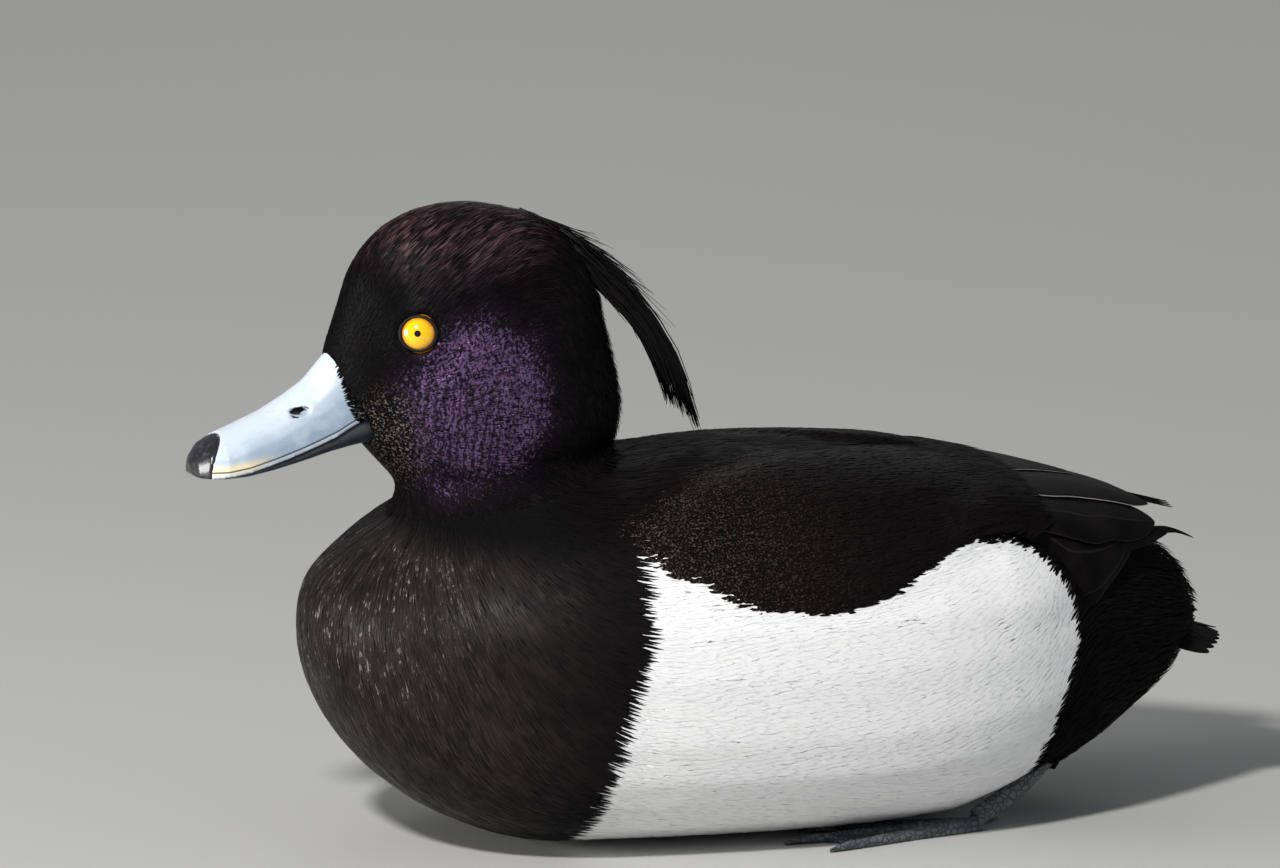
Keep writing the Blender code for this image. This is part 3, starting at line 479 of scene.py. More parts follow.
def spread_roots(surface, draw, spacing, chosen):
    """Roots at even distances on the chosen triangles. spacing gives the distance at places."""
    middles = surface.middles
    wanted = (surface.areas * chosen / spacing(middles) ** 2).sum()
    places, normals = surface.sample(draw, int(wanted * ROOT_TRIES), chosen)
    reach = spacing(places)
    tightest = reach.min()
    keep_share = draw.random(len(places)) < (tightest / reach) ** 2 * ROOT_CHOICE
    places, normals, reach = places[keep_share], normals[keep_share], reach[keep_share]
    tree = KDTree(len(places))
    for i, place in enumerate(places):
        tree.insert(place, i)
    tree.balance()
    taken, kept = bytearray(len(places)), []
    for i, place in enumerate(places):
        if taken[i]:
            continue
        kept.append(i)
        for _, j, _ in tree.find_range(place, reach[i]):
            taken[j] = 1
    return places[kept], normals[kept]


def unwrapped(points, centre, half_sizes):
    """Where points lie on a flat unwrap of an egg-shaped skin, its left and right half on two discs."""
    ways = unit((points - centre) / half_sizes)
    reach = np.arccos(np.clip(np.abs(ways[:, 1]), 0, 1)) / (math.pi / 2)
    turn = np.arctan2(ways[:, 2], ways[:, 0])
    middle = np.where(ways[:, 1] < 0, 0.25, 0.75)
    u, v = BAKE_RADII[0] * reach * np.cos(turn), BAKE_RADII[1] * reach * np.sin(turn)
    return np.stack([middle + u, 0.5 + v], 1)


# How far ahead of its root, in millimetres, the colour of a body tuft is taken.
TIP_REACH = 4.5
# A barb tuft: how far along its length each cross-section is, its share of the width and of the thickness.
TUFT_SECTIONS = ((0.0, 0.55, 0.6), (0.38, 1.0, 1.0), (0.74, 0.72, 0.8))
TUFT_CURL = 0.3
# How much the lengths and widths of tufts differ, and how tufts that lead astray are shortened.
TUFT_LENGTHS, TUFT_WIDTHS = (0.8, 1.2), (0.75, 1.25)
SHORTER, SHORTENINGS = 0.86, 8
# The bake map: the size of a tuft's patch, the free margin, and the radii of the two discs.
BAKE_PATCH, BAKE_MARGIN, BAKE_RADII = 0.003, 0.01, (0.24, 0.48)


def nearest_guides(roots, distance):
    """For each root the nearest of those that lead a lock, which lie about so far apart."""
    lead = np.random.default_rng(len(roots)).permutation(len(roots))
    tree = KDTree(len(roots))
    for i, root in enumerate(roots):
        tree.insert(root, i)
    tree.balance()
    taken, guides = bytearray(len(roots)), []
    for i in lead:
        if not taken[i]:
            guides.append(i)
            for _, j, _ in tree.find_range(roots[i], distance):
                taken[j] = 1
    tree = KDTree(len(guides))
    for i in guides:
        tree.insert(roots[i], int(i))
    tree.balance()
    return np.array([tree.find(root)[1] for root in roots])


def sharpen_sides(mesh, points_each):
    """Marks the side edges of tufts, so that their upper faces shade as one."""
    ends = np.empty(len(mesh.edges) * 2, np.int32)
    mesh.edges.foreach_get("vertices", ends)
    place = ends.reshape(-1, 2) % points_each
    to_tip = (place == points_each - 1).any(1)
    side = place % 3
    lengthwise = (side[:, 0] == side[:, 1]) & (side[:, 0] != 1) & ~to_tip
    other = np.where(place[:, 0] == points_each - 1, side[:, 1], side[:, 0])
    sharp = lengthwise | (to_tip & (other != 1))
    mesh.attributes.new("sharp_edge", "BOOLEAN", "EDGE").data.foreach_set("value", sharp)


def tuft_faces(count):
    """The faces of so many tufts: quads between their sections, and triangles at roots and tips."""
    quads, threes, last = [], [(0, 2, 1)], len(TUFT_SECTIONS) * 3
    for i in range(len(TUFT_SECTIONS) - 1):
        for j in range(3):
            k = (j + 1) % 3
            quads.append((i * 3 + j, i * 3 + k, i * 3 + 3 + k, i * 3 + 3 + j))
    threes += [(last - 3 + j, last - 3 + (j + 1) % 3, last) for j in range(3)]
    starts = np.arange(count)[:, None, None] * (last + 1)
    return [(np.array(group)[None] + starts).reshape(-1, len(group[0])) for group in (quads, threes)]


def bake_map(roots, shares, centre, half_sizes):
    """Where the points of tufts lie in the bake map: a small patch for each tuft, at its root's place."""
    uv = unwrapped(roots, centre, half_sizes)
    low, high = uv.min(0), uv.max(0)
    uv = BAKE_MARGIN + (1 - 2 * BAKE_MARGIN) * (uv - low) / (high - low)
    patch = (shares - (0, 0.5)) * (BAKE_PATCH / 2, BAKE_PATCH)
    return (uv[:, None, :] + patch[None]).reshape(-1, 2)


def lay_tufts(name, surface, roots, normals, draw, form, centre, half_sizes):
    """One coat piece of closed, tapered, three-sided tufts that follow the skin from their roots."""
    count = len(roots)
    length = form["length"](roots) * draw.uniform(*TUFT_LENGTHS, count)
    width = form["width"](roots) * draw.uniform(*TUFT_WIDTHS, count)
    lift = np.radians(form["lift"](roots)) * draw.uniform(1 - form["uneven"], 1 + form["uneven"], count)
    sway = draw.normal(0, form["sway"], count)
    ways = lie(roots, normals)
    for _ in range(SHORTENINGS):
        length = np.where(form["astray"](roots + ways * length[:, None]), length * SHORTER, length)
    centres, outs, alongs = [roots], [normals], [ways]
    place, out, way = roots, normals, ways
    steps = [s[0] for s in TUFT_SECTIONS] + [1.0]
    for before, after in zip(steps, steps[1:]):
        turned = way + np.cross(out, way) * (sway * (after - before) * 2)[:, None]
        place, out = surface.nearest(place + unit(turned) * (length * (after - before))[:, None])
        way = lie(place, out)
        centres.append(place)
        outs.append(out)
        alongs.append(way)
    guide = nearest_guides(roots, form["lock"])
    for i, share in enumerate(steps):
        pull = form["gather"](roots)[:, None] * share**1.3
        centres[i] = mix(centres[i], centres[i][guide], pull)
    points = np.empty((count, len(TUFT_SECTIONS) * 3 + 1, 3))
    shares = np.empty((len(TUFT_SECTIONS) * 3 + 1, 2))
    for i, (share, wide, thick) in enumerate(TUFT_SECTIONS):
        rise = length * np.sin(lift) * share * (1 - TUFT_CURL * share) - form["sunk"] * (1 - share)
        middle = centres[i] + outs[i] * rise[:, None]
        across = np.cross(outs[i], alongs[i]) * (width * wide / 2)[:, None]
        points[:, i * 3] = middle + across
        points[:, i * 3 + 1] = middle + outs[i] * (form["thickness"] * thick)
        points[:, i * 3 + 2] = middle - across
        shares[i * 3 : i * 3 + 3] = ((1, share), (0, share), (-1, share))
    rise = length * np.sin(lift) * (1 - TUFT_CURL)
    points[:, -1] = centres[-1] + outs[-1] * rise[:, None]
    shares[-1] = (0, 1)
    bake = bake_map(roots, shares, np.array(centre), np.array(half_sizes))
    chance = draw.random(count)
    chance = np.repeat(mix(chance, chance[guide], form["together"]), points.shape[1])
    barb = np.stack([chance, np.tile(shares[:, 1], count)], 1)
    obj = mesh_of(name, points.reshape(-1, 3), tuft_faces(count), {"OFBake": bake, "Barb": barb})
    sharpen_sides(obj.data, points.shape[1])
    return obj


# Shader nodes

class Shader:
    """A node tree that is written as nested calls: each call adds a node and returns its first output."""

    def __init__(self, tree):
        self.tree = tree

    def node(self, kind, *links, out=0, values=None, **settings):
        made = self.tree.nodes.new(kind)
        for name, value in settings.items():
            setattr(made, name, value)
        for name, value in (values or {}).items():
            made.inputs[name].default_value = value
        for i, link in enumerate(links):
            if link is None:
                continue
            if isinstance(link, bpy.types.NodeSocket):
                self.tree.links.new(link, made.inputs[i])
            else:
                made.inputs[i].default_value = link
        return made.outputs[out]

    def math(self, operation, a, b=None, clamp=False):
        return self.node("ShaderNodeMath", a, b, operation=operation, use_clamp=clamp)

    def blend(self, share, a, b):
        """A mix of two colours."""
        made = self.tree.nodes.new("ShaderNodeMix")
        made.data_type = "RGBA"
        sockets = [s for s in made.inputs if s.enabled]
        for socket, value in zip((sockets[0], sockets[-2], sockets[-1]), (share, a, b)):
            if isinstance(value, bpy.types.NodeSocket):
                self.tree.links.new(value, socket)
            else:
                socket.default_value = value if isinstance(value, float) else (*value[:3], 1)
        return next(s for s in made.outputs if s.enabled)

    def places(self):
        return self.node("ShaderNodeTexCoord", out=3)

    def stretched(self, factors):
        return self.node("ShaderNodeVectorMath", self.places(), factors, operation="MULTIPLY")

    def lengthwise(self):
        """How far a place lies along the bird, towards its tail."""
        return self.node("ShaderNodeSeparateXYZ", self.places())

    def attribute(self, name):
        return self.node("ShaderNodeAttribute", attribute_name=name, out=2)

    def noise(self, vector, scale, detail=3.0, roughness=0.5):
        values = {"Scale": scale, "Detail": detail, "Roughness": roughness}
        return self.node("ShaderNodeTexNoise", vector, values=values)

    def times(self, *values, clamp=False):
        """The product of some numbers."""
        product = values[0]
        for value in values[1:]:
            product = self.math("MULTIPLY", product, value, clamp)
        return product

    def one_less(self, value):
        """1 less the number."""
        return self.math("SUBTRACT", 1.0, value)

    def span(self, value, low, high, to_low, to_high):
        """A number carried over from one span to another."""
        return self.node("ShaderNodeMapRange", value, low, high, to_low, to_high)

    def ramp(self, value, low, high):
        """0 below low, 1 above high, and smooth between."""
        return self.node("ShaderNodeMapRange", value, low, high, interpolation_type="SMOOTHSTEP")

    def bump(self, height, strength, distance):
        made = self.node("ShaderNodeBump", values={"Strength": strength, "Distance": distance})
        self.tree.links.new(height, made.node.inputs["Height"])
        return made


def group(name, inputs, outputs, build):
    """A node group, built once. build gets a Shader and the inputs, and returns the outputs."""
    if name in bpy.data.node_groups:
        return bpy.data.node_groups[name]
    tree = bpy.data.node_groups.new(name, "ShaderNodeTree")
    for socket, kind, default in inputs:
        made = tree.interface.new_socket(socket, in_out="INPUT", socket_type=f"NodeSocket{kind}")
        made.default_value = default
    for socket, kind in outputs:
        tree.interface.new_socket(socket, in_out="OUTPUT", socket_type=f"NodeSocket{kind}")
    shader = Shader(tree)
    source, sink = tree.nodes.new("NodeGroupInput"), tree.nodes.new("NodeGroupOutput")
    for i, value in enumerate(build(shader, source.outputs)):
        tree.links.new(value, sink.inputs[i])
    return tree


def placed(shader, tree, **values):
    """A group's node in a material. Colours and numbers are set on it, and sockets are linked."""
    made = shader.tree.nodes.new("ShaderNodeGroup")
    made.node_tree = tree
    for name, value in values.items():
        socket = made.inputs[name.replace("_", " ").title()]
        if isinstance(value, bpy.types.NodeSocket):
            shader.tree.links.new(value, socket)
        else:
            socket.default_value = value
    return made.outputs[0]


def spot_group():
    """A soft egg-shaped spot on both sides of the bird."""

    def build(shader, inputs):
        x, y, z = shader.lengthwise().node.outputs
        place = shader.node("ShaderNodeCombineXYZ", x, shader.math("ABSOLUTE", y), z)
        away = shader.node("ShaderNodeVectorMath", place, inputs[0], operation="SUBTRACT")
        scaled = shader.node("ShaderNodeVectorMath", away, inputs[1], operation="DIVIDE")
        reach = shader.node("ShaderNodeVectorMath", scaled, out=1, operation="LENGTH")
        return [shader.ramp(reach, 1.25, 0.55)]

    inputs = (("Centre", "Vector", (0, 0, 0)), ("Half Size", "Vector", (1, 1, 1)))
    return group("Spot", inputs, (("Mask", "Float"),), build)


def spot(shader, name):
    centre, half_size = SPOTS[name]
    return placed(shader, spot_group(), centre=centre, half_size=half_size)


def barb_group():
    """The tone of a tuft: its own chance, lighter to its tip, over slow patches on the bird."""

    def build(shader, inputs):
        barb = shader.node("ShaderNodeUVMap", uv_map="Barb")
        parts = shader.node("ShaderNodeSeparateXYZ", barb).node
        chance = shader.times(parts.outputs[0], inputs[0])
        tip = shader.times(parts.outputs[1], inputs[1])
        patch = shader.times(shader.noise(shader.places(), 60.0), inputs[2])
        return [shader.math("ADD", shader.math("ADD", chance, tip), patch, clamp=True)]

    inputs = (("Chance", "Float", 0.5), ("Tip", "Float", 0.3), ("Patch", "Float", 0.3))
    return group("Barb Tone", inputs, (("Tone", "Float"),), build)


def speckle_group():
    """Fine pale grains."""

    def build(shader, inputs):
        fine = shader.node("ShaderNodeTexNoise", shader.stretched(inputs[3]), None, inputs[0], 2.0, 0.6)
        return [shader.ramp(fine, inputs[1], inputs[2])]

    numbers = (("Scale", "Float", 1500.0), ("Low", "Float", 0.55), ("High", "Float", 0.7))
    return group("Speckle", (*numbers, ("Stretch", "Vector", (1, 1, 1))), (("Mask", "Float"),), build)


def furrow_group():
    """Wavy upright furrows between rows of small feathers."""

    def build(shader, inputs):
        turns = shader.math("DIVIDE", shader.lengthwise(), inputs[0])
        wave = shader.times(shader.noise(shader.places(), 160.0), inputs[1])
        angle = shader.times(shader.math("ADD", turns, wave), math.tau)
        return [shader.ramp(shader.math("SINE", angle), 0.1, 0.8)]

    inputs = (("Pitch", "Float", 0.002), ("Waviness", "Float", 2.0))
    return group("Furrows", inputs, (("Mask", "Float"),), build)


def vane_group():
    """Barbs that slant from the shaft of a flight feather to its edges, as a height."""

    def build(shader, inputs):
        vane = shader.node("ShaderNodeUVMap", uv_map="Vane")
        parts = shader.node("ShaderNodeSeparateXYZ", vane).node
        across = shader.math("ABSOLUTE", parts.outputs[0])
        slant = shader.math("SUBTRACT", parts.outputs[1], shader.times(across, 0.6))
        wobble = shader.times(shader.noise(shader.places(), 700.0), 3.0)
        wave = shader.math("SINE", shader.math("ADD", shader.times(slant, inputs[0]), wobble))
        shaft = shader.ramp(across, 0.045, 0.02)
        # The edge mask is where the painted highlight runs along the outer edge.
        edge = shader.ramp(parts.outputs[0], 0.955, 0.98)
        return [shader.span(wave, -1.0, 1.0, 0.0, 1.0), shaft, edge]

    outputs = (("Height", "Float"), ("Shaft", "Float"), ("Edge", "Float"))
    return group("Vane Barbs", (("Pitch", "Float", 110.0),), outputs, build)


HEAD_ROUGHNESS, COLLAR_ROUGHNESS = 0.36, 0.96


def new_material(name, colour, roughness, **sockets):
    """A material with its Principled shader: the constants are set on the shader's own sockets."""
    material = bpy.data.materials.new(name)
    material.use_nodes = True
    material.diffuse_color = (*colour[:3], 1)
    principled = material.node_tree.nodes["Principled BSDF"]
    principled.inputs["Base Color"].default_value = (*colour[:3], 1)
    principled.inputs["Roughness"].default_value = roughness
    for socket, value in sockets.items():
        principled.inputs[socket.replace("_", " ")].default_value = value
    return material, Shader(material.node_tree)


def feed(material, value, socket):
    material.node_tree.links.new(value, material.node_tree.nodes["Principled BSDF"].inputs[socket])


def head_coat_material(plumage):
    """Black barbs with painted brown sheen on the brow, purple glints on the cheek and painted pale glints
    by the bill.
    """
    material, shader = new_material("head_barbs", plumage.black, HEAD_ROUGHNESS, Specular_IOR_Level=0.03)
    tone = placed(shader, barb_group(), chance=0.75, tip=0.2, patch=0.15)
    unlit = shader.one_less(shader.times(spot(shader, "lores"), 0.7))
    bright = shader.times(shader.math("POWER", tone, 3.6), unlit)
    base = shader.blend(bright, plumage.black, plumage.head_light)
    # Painted sheen: the lighter barbs of the brow and crown turn brown-purple.
    base = shader.blend(shader.times(spot(shader, "brow_sheen"), bright), base, plumage.brow_sheen)
    area = shader.math("MAXIMUM", spot(shader, "cheek"), shader.times(spot(shader, "under_cheek"), 0.7))
    area = shader.math("MAXIMUM", area, shader.times(spot(shader, "temple"), 0.2))
    clouds = shader.times(shader.noise(shader.places(), 130.0), 0.7)
    area = shader.ramp(shader.math("ADD", area, clouds), 0.3, 1.5)
    grains = placed(shader, speckle_group(), scale=1700.0, stretch=(1.0, 1.0, 0.7), low=0.0, high=1.0)
    grains = shader.ramp(shader.math("ADD", grains, shader.times(area, 0.4)), 0.74, 1.0)
    furrows = placed(shader, furrow_group(), pitch=0.0019, waviness=2.4)
    furrows = shader.times(spot(shader, "throat"), furrows)
    lit = shader.times(grains, shader.ramp(tone, 0.1, 0.8), shader.one_less(shader.times(furrows, 0.8)))
    gloss = shader.times(area, shader.math("ADD", lit, 0.04), clamp=True)
    base = shader.blend(gloss, base, plumage.purple)
    # Painted glints: pale specks on the barbs by the bill.
    pale = placed(shader, speckle_group(), scale=1500.0, low=0.53, high=0.63)
    base = shader.blend(shader.times(pale, spot(shader, "face"), 0.65), base, plumage.face_glint)
    feed(material, base, "Base Color")
    feed(material, shader.times(gloss, 0.8), "Metallic")
    roughness = shader.span(spot(shader, "collar"), 0.0, 1.0, HEAD_ROUGHNESS, COLLAR_ROUGHNESS)
    feed(material, roughness, "Roughness")
    return material


def black_coat_material(plumage, name, light, tip, roughness, gloss):
    """Black or brown-black barbs with lighter, glossier ones among them."""
    material, shader = new_material(name, plumage.black, roughness, Specular_IOR_Level=gloss)
    tone = placed(shader, barb_group(), chance=0.5, tip=tip, patch=0.4)
    feed(material, shader.blend(shader.math("POWER", tone, 1.5), plumage.black, light), "Base Color")
    feed(material, shader.span(tone, 0.0, 1.0, 0.75, roughness), "Roughness")
    return material


def breast_coat_material(plumage):
    """Black barbs with a sheen, glossiest on the front of the breast, with painted highlight and glints
    there and painted shadow under the cheek.
    """
    sockets = {"Specular_IOR_Level": 0.06, "Sheen_Weight": 0.015, "Sheen_Roughness": 0.4}
    material, shader = new_material("breast_barbs", plumage.black, 0.5, **sockets)
    tone = placed(shader, barb_group(), chance=0.6, tip=0.15, patch=0.45)
    # Painted shadow: the barbs under the cheek are darkened.
    tone = shader.times(tone, shader.one_less(spot(shader, "painted_neck_shadow")))
    # Painted highlight: the barbs on the front of the breast are lighter where the light falls.
    front = shader.ramp(shader.lengthwise(), -0.05, -0.092)
    light = shader.blend(front, plumage.brown, plumage.breast_highlight)
    base = shader.blend(shader.math("POWER", tone, 1.8), plumage.black, light)
    # Painted glints: a few bright barbs low on the front of the breast.
    glint_specks = placed(shader, speckle_group(), scale=900.0, stretch=(1.0, 1.0, 0.6), low=0.52, high=0.62)
    painted_glints = shader.times(shader.ramp(tone, 0.68, 1.0), spot(shader, "chest"), glint_specks)
    feed(material, shader.blend(painted_glints, base, plumage.breast_glint), "Base Color")
    dull = shader.times(shader.span(front, 0.0, 1.0, 0.7, 0.36), shader.span(tone, 0.0, 0.9, 1.4, 0.7))
    feed(material, dull, "Roughness")
    return material


def patch_coat_material(plumage):
    """Brown-black barbs with the pale grains of the shoulder patch, which fade to the stern."""
    material, shader = new_material("patch_barbs", plumage.brown, 0.5, Specular_IOR_Level=0.025)
    tone = placed(shader, barb_group(), chance=0.5, tip=0.1, patch=0.3)
    base = shader.blend(tone, plumage.black, plumage.brown)
    grains = placed(shader, speckle_group(), scale=1900.0, low=0.54, high=0.64)
    front = shader.ramp(shader.lengthwise(), 0.035, -0.045)
    share = shader.times(grains, shader.math("POWER", front, 1.6))
    feed(material, shader.blend(share, base, plumage.grain), "Base Color")
    return material


def white_coat_material(plumage):
    """White barbs, a little greyer between them."""
    material, shader = new_material("white_barbs", plumage.white, 0.55, Specular_IOR_Level=0.3)
    tone = placed(shader, barb_group(), chance=0.75, tip=0.3, patch=0.2)
    feed(material, shader.blend(tone, plumage.white_shade, plumage.white), "Base Color")
    return material


def skin_material(plumage):
    """The skin with the markings of the coat over it."""
    material, shader = new_material("skin", plumage.black, 0.7, Specular_IOR_Level=0.05)
    base = shader.blend(shader.attribute("white"), plumage.black, plumage.white_shade)
    feed(material, base, "Base Color")
    return material


def vane_material(plumage, name, light, roughness, rim):
    """Flight feathers: brown-black, with barbs in relief, a shaft and a painted highlight along the outer
    edge.
    """
    material, shader = new_material(name, plumage.brown, roughness, Specular_IOR_Level=0.03)
    barbs = placed(shader, vane_group(), pitch=110.0)
    shaft, edge = barbs.node.outputs[1], barbs.node.outputs[2]
    patches = shader.noise(shader.places(), 120.0)
    base = shader.blend(shader.ramp(patches, 0.3, 0.75), plumage.black, light)
    base = shader.blend(shaft, base, plumage.shaft)
    # Painted highlight: a light line along the outer edge, as strong as rim.
    feed(material, shader.blend(shader.times(edge, rim), base, plumage.rim_highlight), "Base Color")
    feed(material, shader.bump(barbs, 0.25, 0.0002), "Normal")
    return material


# Settings

def colour_property(name, description, default):
    return FloatVectorProperty(
        name=name, description=description, subtype="COLOR", size=3, min=0, max=1, default=default
    )


def length_property(name, description, default):
    return FloatProperty(name=name, description=description, unit="LENGTH", min=0, default=default)


def power_property(name, description, default):
    return FloatProperty(name=name, description=description, unit="POWER", min=0, default=default)


class DuckPlumageSettings(bpy.types.PropertyGroup):
    coat_depth: length_property("Coat Depth", "How deep the skin lies below the coat", 0.0017)
    head_spacing: length_property("Head Spacing", "Distance between the tufts of the head", 0.0004)
    body_spacing: length_property("Body Spacing", "Distance between the tufts of the body", 0.00082)
    seed: IntProperty(name="Seed", description="Start of the random draws", default=7)
    black: colour_property("Black", "The deepest black of the plumage", (0.003, 0.0027, 0.003))
    head_light: colour_property("Head Light", "The lighter barbs of the head", (0.011, 0.0082, 0.01))
    # The colour of the painted sheen on the brow and crown.
    brow_sheen: colour_property("Brow", "The browner barbs of the forehead", (0.12, 0.07, 0.082))
    # The colour of the painted glints by the bill.
    face_glint: colour_property("Face Grain", "The pale grains by the bill", (0.24, 0.2, 0.17))
    purple: colour_property("Purple", "The gloss of the cheek", (0.22, 0.13, 0.29))
    brown: colour_property("Brown", "The brown-black of back and wings", (0.0078, 0.006, 0.006))
    # The colour of the painted highlight on the front of the breast.
    breast_highlight: colour_property("Breast Light", "The lighter barbs of the breast", (0.034, 0.029, 0.028))
    # The colour of the painted glints on the breast.
    breast_glint: colour_property("Breast Glint", "The few bright barbs of the breast", (0.2, 0.185, 0.18))
    grain: colour_property("Grain", "The pale grains of the shoulder patch", (0.085, 0.062, 0.053))
    white: colour_property("White", "The white of flank and belly", (0.92, 0.92, 0.93))
    white_shade: colour_property("White Shade", "The white between the barbs", (0.89, 0.9, 0.92))
    # The colour of the painted highlight along the edges of the flight feathers.
    rim_highlight: colour_property("Vane Rim", "The thin light rim of the longest feathers", (0.42, 0.4, 0.38))
    shaft: colour_property("Shaft", "The shafts of the flight feathers", (0.016, 0.014, 0.013))


class DuckEyeSettings(bpy.types.PropertyGroup):
    pupil: length_property("Pupil", "Radius of the pupil", 0.0008)
    iris: colour_property("Iris", "The yellow of the iris", (0.95, 0.58, 0.006))
    iris_rim: colour_property("Iris Rim", "The deeper rim of the iris", (0.62, 0.2, 0.0))


class DuckBillSettings(bpy.types.PropertyGroup):
    blue: colour_property("Bill Blue", "The blue-grey of the bill", (0.3, 0.39, 0.51))
    # The pale colour serves as a painted highlight towards the ridge, and as the bill's own paler rim and
    # patches.
    pale: colour_property("Bill Pale", "The paler ridge and rim of the bill", (0.56, 0.63, 0.71))
    cream: colour_property("Bill Cream", "The stain by the tip", (0.85, 0.74, 0.48))
    dark: colour_property("Bill Dark", "Nail, nostrils and mouth line", (0.012, 0.012, 0.015))


class DuckFootSettings(bpy.types.PropertyGroup):
    grey: colour_property("Foot Grey", "Toes and shanks", (0.15, 0.17, 0.19))
    web: colour_property("Web", "The darker webs", (0.03, 0.032, 0.038))


class DuckStageSettings(bpy.types.PropertyGroup):
    floor: colour_property("Floor", "The pale floor and backdrop", (0.5, 0.5, 0.49))
    key: power_property("Key", "Power of the main light", 41.0)
    glint: power_property("Glint", "Power of the light from ahead", 22.0)
    fill: power_property("Fill", "Power of the filling light", 2.5)
    rim: power_property("Rim", "Power of the light from behind", 2.5)
    world: FloatProperty(name="Surround", description="Strength of the surrounding light", default=0.2)


SETTINGS = {
    "duck_plumage": DuckPlumageSettings,
    "duck_eye": DuckEyeSettings,
    "duck_bill": DuckBillSettings,
    "duck_foot": DuckFootSettings,
    "duck_stage": DuckStageSettings,
}


# Eyes

# Where the head is felt round the eye, to find where the eye looks: x and z, and how far from there.
EYE_SOCKET, EYE_SOCKET_RADIUS = (-91.2, 128), 9


def eye_middle(side):
    low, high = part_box("eye_left" if side == LEFT else "eye_right")
    return (low + high) / 2 / MM


def eye_outward(side):
    """The way that an eye looks: out of the head, at right angles to it."""
    middle = eye_middle(side)
    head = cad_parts["head"].data
    tree = BVHTree.FromPolygons([v.co / MM for v in head.vertices], [p.vertices for p in head.polygons])
    found = []
    for dx, dz in ((1, 0), (-1, 0), (0, 1), (0, -1)):
        x, z = EYE_SOCKET[0] + dx * EYE_SOCKET_RADIUS, EYE_SOCKET[1] + dz * EYE_SOCKET_RADIUS
        found.append(tree.ray_cast(Vector((x, 60 * side, z)), Vector((0, -side, 0)))[0])
    normal = (found[0] - found[1]).cross(found[2] - found[3]).normalized()
    return middle, normal if normal.y * side > 0 else -normal


# Skin

HEAD_DEPTH, FLANK_END_DEPTH, BILL_ROOT_DEPTH, EYE_DEPTH = 0.85, 0.4, 0.35, 0.3
# The upper rear end of the flank, as x and z, and how far out it lies.
FLANK_END, FLANK_END_SIDE = (58, 66), 38
# Where the skin keeps up with the ridge of the wings: from x to x, over which height, half its width, and
# how its sides fall.
RIDGE_FRONT, RIDGE_REAR, RIDGE_FOOT, RIDGE_HALF_WIDTH, RIDGE_FALL = 14, 54, 76, 14, 0.018
SHIELD_REAR = 52.5


def skin_depth(points, coat_depth):
    """How far the skin lies below the solids, less round the bill and the eyes."""
    x, y, z = points.T
    depth = mix(coat_depth, HEAD_DEPTH, smoothstep(-4, 10, z - edge_at(COLLAR, x)))
    depth = np.where(x > -20, coat_depth, depth)
    from_flank_end = np.hypot(x - FLANK_END[0], z - FLANK_END[1])
    from_flank_end = np.where(np.abs(y) < FLANK_END_SIDE, 100, from_flank_end)
    depth = mix(FLANK_END_DEPTH, depth, smoothstep(4, 18, from_flank_end))
    from_bill = np.linalg.norm((points - BILL_ROOT) * (1, 1, 0.8), axis=1)
    depth = mix(BILL_ROOT_DEPTH, depth, smoothstep(11, 24, from_bill))
    for side in (LEFT, RIGHT):
        from_eye = np.linalg.norm(points - np.array(eye_middle(side)), axis=1)
        depth = mix(EYE_DEPTH, depth, smoothstep(6, 12, from_eye))
    return depth


class DUCK_OT_skin(bpy.types.Operator):
    """Grow one smooth skin from the solids of flesh"""

    bl_idname = "duck.skin"
    bl_label = "Skin"

    def execute(self, context):
        plumage = context.scene.duck_plumage
        pieces = [node_copy(node) for node in FLESH]
        for node in ("wing_left", "wing_right"):
            shield = node_copy(node)
            cut_off(shield, (SHIELD_REAR, 0, 0), (1, 0, 0))
            pieces.append(shield)
        seat = node_copy("crest")
        cut_off(seat, (-45, 0, 145), (0.85, 0, -0.5))
        pieces.append(seat)
        skin = fused("skin", pieces, swell=0.3, voxel=1.5, smoothing=11)
        places = vertex_places(skin.data)
        depth = skin_depth(places, plumage.coat_depth / MM)
        inner = places - vertex_normals(skin.data) * depth[:, None]
        x, y, z = inner.T
        ridge = np.interp(x, *np.array(ROOF).T[:2]) - RIDGE_DEPTH - RIDGE_FALL * y**2
        on_ridge = (x > RIDGE_FRONT) & (x < RIDGE_REAR) & (np.abs(y) < RIDGE_HALF_WIDTH) & (z > RIDGE_FOOT)
        inner[:, 2] = np.where(on_ridge, np.maximum(z, ridge), z)
        set_places(skin.data, inner)
        set_values(skin.data, "white", is_white(places))
        finished(skin, "skin", skin_material(plumage), "torso", *FLESH)
        return {"FINISHED"}


# Plumage

def coat(name, surface, material, slot, chosen, form, seed, centre, half_sizes, parts=1):
    """Tufts over the chosen part of the skin, in so many pieces."""
    draw = np.random.default_rng(seed)
    roots, normals = spread_roots(surface, draw, form["spacing"], chosen)
    order = np.argsort(roots[:, 0], kind="stable")
    for i, share in enumerate(np.array_split(order, parts)):
        title = f"{name}_{i + 1}" if parts > 1 else name
        obj = lay_tufts(title, surface, roots[share], normals[share], draw, form, centre, half_sizes)
        finished(obj, title, material, slot)
        print(title, len(share), "tufts", len(obj.data.loop_triangles))


BARE_EYE_RADIUS = 5.0
# The bill's socket: its rear end, half its width, and its lower and upper end.
SOCKET_REAR, SOCKET_HALF_WIDTH, SOCKET_FOOT, SOCKET_TOP = -98.5, 8.4, 99, 119.5


def off_bill_and_eyes(points):
    """Where feathers grow on the head: not in the bill's socket and not on the eyes."""
    free = np.ones(len(points), bool)
    for side in (LEFT, RIGHT):
        middle, outward = eye_outward(side)
        free &= np.linalg.norm(points - np.array(middle + outward * 3.8), axis=1) > BARE_EYE_RADIUS
    x, y, z = points.T
    between = (np.abs(y) < SOCKET_HALF_WIDTH) & (z < SOCKET_TOP) & (z > SOCKET_FOOT)
    return free & ~((x < SOCKET_REAR) & between)


